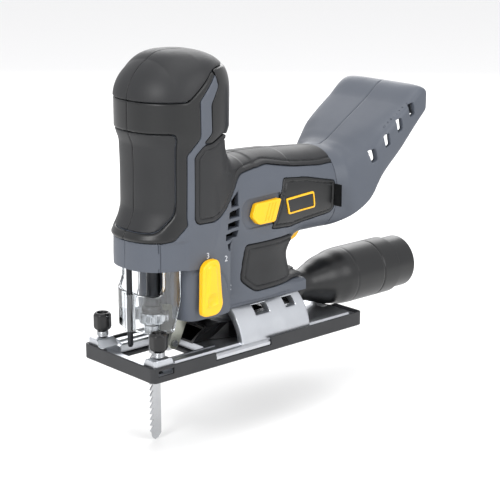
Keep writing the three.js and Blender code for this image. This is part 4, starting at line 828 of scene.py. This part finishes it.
def shoe_form(p):
    """Rounded tray with soft rim edges and a ramped gap in each side."""
    x, y, z = p.T
    outer = blend_max(blend_max(plan_rect(x, y, 91, 36, 4), z - 9.3, 0.7), -z, 0.6)
    tray = both(plan_rect(x, y, 89.4, 34.4, 3.3), 2 - z)
    gap = both(slab(x, -6, 41), 32 - np.abs(y), 4 - z)
    form = blend_max(outer, -tray, 0.5)
    form = blend_max(form, -gap, 0.4)
    return blend_max(form, -base_cuts(x, y, z, 17, 39), 0.5)


carve("shoe_tray", shoe_form, [-91, -36, 0], [91, 36, 9.6], 0.8, SHOE_PLASTIC, "base", "shoe", slot="shoe")

# ---------------------------------------------------------------- clear chip guard
# Injection-moulded polycarbonate round the front of the blade, with a tube for the finger rod.
POLYCARBONATE, tree = blank_material("clear_polycarbonate")
where = add(tree, "ShaderNodeTexCoord").outputs["Object"]
waves = add(tree, "ShaderNodeTexNoise", {"Vector": where, "Scale": 1 / (7 * MM), "Detail": 1.0})
haze = add(tree, "ShaderNodeMapRange", {"Value": waves.outputs["Fac"], "To Min": 0.02, "To Max": 0.07})
ripple = add(tree, "ShaderNodeBump", {"Strength": 0.12, "Distance": 0.1 * MM, "Height": waves.outputs["Fac"]})
clear = add(tree, "ShaderNodeBsdfPrincipled", {
    "Base Color": linear("#f3f7fa"), "Roughness": haze.outputs[0], "Normal": ripple.outputs[0],
    "Transmission Weight": 1.0, "IOR": 1.585})
add(tree, "ShaderNodeOutputMaterial", {"Surface": clear.outputs[0]})
GUARD_SIDE = rounded([(57.5, 64.8), (57.5, 44.2), (62.5, 26), (64, 24), (90, 24), (90, 48), (73, 48.2),
                      (70, 53), (70, 64.8)], 2.4, 5)


def guard_form(p):
    """1.5 mm wall half a millimetre inside the guard's plan, joined to the tube round the rod."""
    x, y, z = p.T
    plan = guard_plan(x, y, 0.5)
    wall = blend_max(both(plan, -(plan + 1.5)), off_outline(x, z, GUARD_SIDE), 0.5)
    tube = both(np.hypot(x - ROD_X, y) - 3.4, slab(z, 24, 48))
    return both(blend_min(wall, tube, 1.0), 2.1 - np.hypot(x - ROD_X, y))


carve("guard_shield", guard_form, [57, -23, 23.5], [84.6, 23, 65.5], 0.6, POLYCARBONATE, "chip_guard",
      "chip_guard", slot="clear")

# ---------------------------------------------------------------- turned parts
# Knobs, collars, rods and rollers: a profile turned about its axis, with flats or knurls on it.


def eased(path, radius, steps=4):
    """Open path with its inner corners rounded by small quadratic arcs."""
    path = [np.asarray(p, float) for p in path]
    made = [path[0]]
    for before, corner, after in zip(path, path[1:], path[2:]):
        a = corner + (before - corner) * min(0.45, radius / max(np.linalg.norm(before - corner), 1e-6))
        b = corner + (after - corner) * min(0.45, radius / max(np.linalg.norm(after - corner), 1e-6))
        made += [(1 - t) ** 2 * a + 2 * t * (1 - t) * corner + t * t * b
                 for t in np.linspace(0, 1, steps + 1)]
    return np.array(made + [path[-1]])


def turned(name, profile, centre, material, body, *nodes, axis="z", ring=72, wave=None, slot=None, smooth=38):
    """Surface of revolution: each (radius, height) row is a circle; wave scales radii by angle and height."""
    profile = np.asarray(profile, float)
    angle = np.arange(ring) * 2 * math.pi / ring
    radius = profile[:, :1] * np.ones(ring)
    if wave:
        radius = radius * wave(angle[None, :], profile[:, :1], profile[:, 1:])
    u, v = radius * np.cos(angle), radius * np.sin(angle)
    height = profile[:, 1:] * np.ones(ring)
    order = {"z": (u, v, height), "y": (v, height, u)}[axis]
    points = np.stack(order, -1).reshape(-1, 3) + centre
    rows = np.arange(len(profile) - 1)[:, None] * ring
    here, step = np.arange(ring), (np.arange(ring) + 1) % ring
    quads = np.stack([rows + here, rows + step, rows + ring + step, rows + ring + here], -1).reshape(-1, 4)
    faces = quads.tolist() + [here[::-1].tolist(), (here + (len(profile) - 1) * ring).tolist()]
    piece = surface(name, points, faces, material, smooth)
    return settle(piece, body, *nodes, slot=slot)


def six_flats(angle, radius, height):
    """Grip flats: the radius never passes six planes at 93 percent of it."""
    turn = (angle + math.pi / 6) % (math.pi / 3) - math.pi / 6
    return np.where((radius > 4.6) & (height > 19.5) & (height < 28.9), np.minimum(1, 0.93 / np.cos(turn)), 1)


def spring(name, centre, radius, wire, low, high, turns, material, body, *nodes, slot=None):
    """Round wire along a helix: a ring of the wire at each step of the turn."""
    steps = np.linspace(0, 1, turns * 30 + 1)[:, None]
    around = np.arange(10)[None, :] * 2 * math.pi / 10
    turn = steps * turns * 2 * math.pi
    reach = radius + wire * np.cos(around)
    height = low + wire + steps * (high - low - 2 * wire) + wire * np.sin(around)
    points = np.stack([reach * np.cos(turn), reach * np.sin(turn), height], -1).reshape(-1, 3)
    rows = np.arange(len(steps) - 1)[:, None] * 10
    here, step = np.arange(10), (np.arange(10) + 1) % 10
    quads = np.stack([rows + here, rows + here + 10, rows + step + 10, rows + step], -1)
    faces = quads.reshape(-1, 4).tolist() + [here.tolist(), (here + (len(steps) - 1) * 10)[::-1].tolist()]
    piece = surface(name, points + centre, faces, material)
    return settle(piece, body, *nodes, slot=slot)


for side, tag in ((1, "left"), (-1, "right")):
    at = (81, side * 28.5, 0)
    profile = eased([(0.01, 8), (2.4, 8), (2.4, 18.4), (4.8, 18.4), (5.7, 19.9), (5.7, 27.9), (4.5, 29.4),
                     (3.5, 29.4), (3.1, 27.2), (0.01, 27.2)], 0.6)
    turned(f"fence_knob_{tag}_head", profile, at, GLOSS_BLACK, f"fence_knob_{tag}", f"fence_screw_{tag}",
           wave=six_flats, slot="black")
    spring(f"fence_coil_{tag}", at, 3.25, 0.55, 13.7, 18.1, 4, TURNED_STEEL, "base", f"fence_spring_{tag}",
           slot="steel")


def knurled(count, depth, over):
    """Knurling: the radius ripples with the angle wherever it is over a given radius."""
    return lambda angle, radius, height: 1 - (radius > over) * depth * (0.5 + 0.5 * np.cos(count * angle))


AXIS = (61.8, 0, 0)
turned("clamp_jaw", eased([(0.01, 18), (5.1, 18), (5.6, 24.5), (0.01, 24.5)], 0.5), AXIS, TURNED_STEEL,
       "plunger", "clamp_nose", slot="steel")
turned("clamp_cap", eased([(4.9, 33.3), (7.2, 33.3), (7.2, 35.6), (6.4, 37.4), (4.9, 37.4)], 0.4), AXIS,
       GLOSS_BLACK, "plunger", "clamp_collar", slot="black")


def clamp_ring_form(p):
    """Knurled ring with a bright lip, and the release tab turned towards the right front."""
    x, y, z = p.T
    u, v = x - AXIS[0], y
    r, angle = np.hypot(u, v), np.arctan2(v, u)
    outer = r - 8.7 + 0.3 * (0.5 + 0.5 * np.cos(40 * angle)) * (np.abs(z - 29.5) < 2.2)
    ring = blend_max(blend_max(outer, slab(z, 26, 33), 0.6), 5.9 - r, 0.3)
    c, s = math.cos(math.radians(-25)), math.sin(math.radians(-25))
    a, b = u * c + v * s, -u * s + v * c
    tab = blend_max(both(slab(a, 7.6, 13.5), np.abs(b) - 1.7), slab(z, 28.5, 36.6), 0.8)
    return blend_min(ring, tab, 0.8)


carve("clamp_release_ring", clamp_ring_form, [52.5, -9.5, 25.5], [75, 9.5, 37], 0.42, TURNED_STEEL,
      "clamp_ring", "clamp_ring", slot="steel")


def plunger_form(p):
    """Hardened rod that widens at the clamp, with the slotted yoke across it."""
    x, y, z = p.T
    r = np.hypot(x - AXIS[0], y)
    end = blend_max(r - 5.6, slab(z, 25.7, 43), 0.5)
    rod = blend_max(r - 4.5, slab(z, 40, 128), 0.6)
    yoke = blend_max(both(slab(x, 55.8, 61.8), np.abs(y) - 19), np.abs(z - 82.5) - 4.6, 0.5)
    slot_room = both(x - 60.5, np.abs(y) - 16.3, np.abs(z - 82.5) - 2.6)
    return both(blend_min(blend_min(end, rod, 0.8), yoke, 0.5), -slot_room)


carve("plunger_rod", plunger_form, [55.5, -19.5, 25], [68, 19.5, 128.5], 0.6, BLACKENED, "plunger", "plunger",
      slot="steel")
turned("finger_guard_rod", eased([(0.01, 13), (1.3, 13.4), (1.8, 14.8), (1.8, 71), (0.01, 71)], 0.4),
       (ROD_X, 0, 0), BLACKENED, "housing", "finger_rod", slot="black_steel", ring=32)
roller_profile = [(2.5, -2.6), (6.2, -2.6), (6.0, -0.9), (6.0, 0.9), (6.2, 2.6), (2.5, 2.6)]
turned("blade_roller", eased(roller_profile, 0.3),
       (51.5, 0, 10.9), TURNED_STEEL, "roller", "roller", axis="y", slot="steel")
turned("speed_wheel", eased([(0.01, -3), (8.4, -3), (9.5, -2.2), (9.5, 2.2), (8.4, 3), (0.01, 3)], 0.4),
       (DIAL_X, 0, DIAL_Z), YELLOW_ABS, "speed_dial", "speed_dial", axis="y", ring=144,
       wave=knurled(28, 0.05, 9.0), slot="yellow")

# ---------------------------------------------------------------- saw blade
# T-shank blade stamped from 1.2 mm steel: smooth back, ground gullets of 4 mm pitch, cut tip.
tooth = [(64.0, 0.9), (63.7, 0.1), (64.2, -0.6), (66.05, -2.9), (66.1, -3.4), (65.2, -3.3)]
blade_side = [(57.8, 40.4), (65.8, 40.4), (65.8, 33), (65.6, 6)]
for k in range(13):
    blade_side += [(x, 4 - 4 * k + z) for x, z in tooth]
blade_side += [(64.4, -51), (63.0, -53), (60.4, -52.4), (57.8, -49.5)]
sides = np.array(blade_side)
count = len(sides)
lay = np.concatenate([np.column_stack([sides[:, 0], np.full(count, y), sides[:, 1]]) for y in (-0.6, 0.6)])
wrap = [[k, (k + 1) % count, (k + 1) % count + count, k + count] for k in range(count)]
flats = [list(range(count))[::-1], list(range(count, 2 * count))]
blade = surface("saw_blade", lay, flats + [w[::-1] for w in wrap], GROUND_STEEL, 20)
chamfer = blade.modifiers.new("ground_edges", "BEVEL")
chamfer.width, chamfer.segments, chamfer.limit_method = 0.12 * MM, 1, "ANGLE"
settle(blade, "plunger", "blade", slot="steel")

# ---------------------------------------------------------------- suction nozzle
# Blow-moulded ABS: a flat mouth over the duct turns into a neck, swells and ends in a hose cuff.
NOZZLE = [[-37, 13.45, 13.1, 3.9, 8], [-47, 13.45, 13.1, 3.9, 8], [-54, 20.95, 11.5, 8.5, 3],
          [-61, 25, 10.6, 10.6, 2], [-67, 25, 11, 11, 2], [-75, 25, 13.4, 13.4, 2], [-84, 25, 16.6, 16.6, 2],
          [-91, 25, 18, 18, 2], [-99, 25, 19.6, 19.6, 2], [-106, 25, 20, 20, 2], [-145.6, 25, 20, 20, 2],
          [-147, 25, 18.4, 18.4, 2], [-162.2, 25, 18.4, 18.4, 2], [-163, 25, 17.8, 17.8, 2]]
edges = [-145.6, -146.3, -147, -162.6, -130.2, -130.6]
stations = np.unique(np.concatenate([np.linspace(-163, -37, 180), edges]))
middle, half_y, half_z, squareness = along(NOZZLE[::-1], stations)[:, :, None]
at_x = stations[:, None]
groove = 1 - 0.02 * np.exp(-((at_x + 130.4) / 0.5) ** 2) - 0.012 * np.exp(-((at_x + 104) / 0.6) ** 2)
around = np.linspace(0, 2 * math.pi, 97)[:-1][None, :]


def nozzle_skin(inset):
    """Rings of superellipses |y/a|^n + |z/b|^n = 1 along X, drawn in by an inset."""
    c, s = np.cos(around), np.sin(around)
    y = np.sign(c) * np.abs(c) ** (2 / squareness) * (half_y - inset)
    z = np.sign(s) * np.abs(s) ** (2 / squareness) * (half_z - inset)
    scale = groove if inset == 0 else 1.0
    return np.stack([stations[:, None] + 0 * y, y * scale, middle + z * scale], -1)


skins = np.concatenate([nozzle_skin(0), nozzle_skin(1.4)[::-1]])
rings = np.arange(len(skins))[:, None]
here, step = np.arange(96)[None, :], (np.arange(96)[None, :] + 1) % 96
following = (rings + 1) % len(skins)
quads = np.stack([rings * 96 + here, rings * 96 + step, following * 96 + step, following * 96 + here], -1)
nozzle = surface("suction_nozzle", skins.reshape(-1, 3), quads.reshape(-1, 4)[:, ::-1], BLACK_NYLON)
settle(nozzle, "nozzle", "nozzle", slot="black")

# ---------------------------------------------------------------- pieces inside the case
# The motor, gears, bushes, switch, board and duct keep their CAD solids and get real finishes.
FINISHES = {"shell": GREY_ABS, "rubber": BLACK_TPE, "black": GLOSS_BLACK, "yellow": YELLOW_ABS,
            "cast": CAST_ALUMINIUM, "shoe": SHOE_PLASTIC, "steel": TURNED_STEEL, "zinc": ZINC_PLATE,
            "copper": COPPER, "brass": BRASS, "clear": POLYCARBONATE, "board": BOARD_GREEN,
            "black_steel": BLACKENED}
for row in frame["record"]["subparts"]:
    mesh = frame["nodes"][row["node"]].data
    mesh.materials.clear()
    mesh.materials.append(FINISHES[row["material_slot"]])

# ---------------------------------------------------------------- bounds of the CAD parts and of the dressed scene
low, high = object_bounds()
{"cad": [list(cad_bounds[0]), list(cad_bounds[1])], "visual": [list(low), list(high)]}
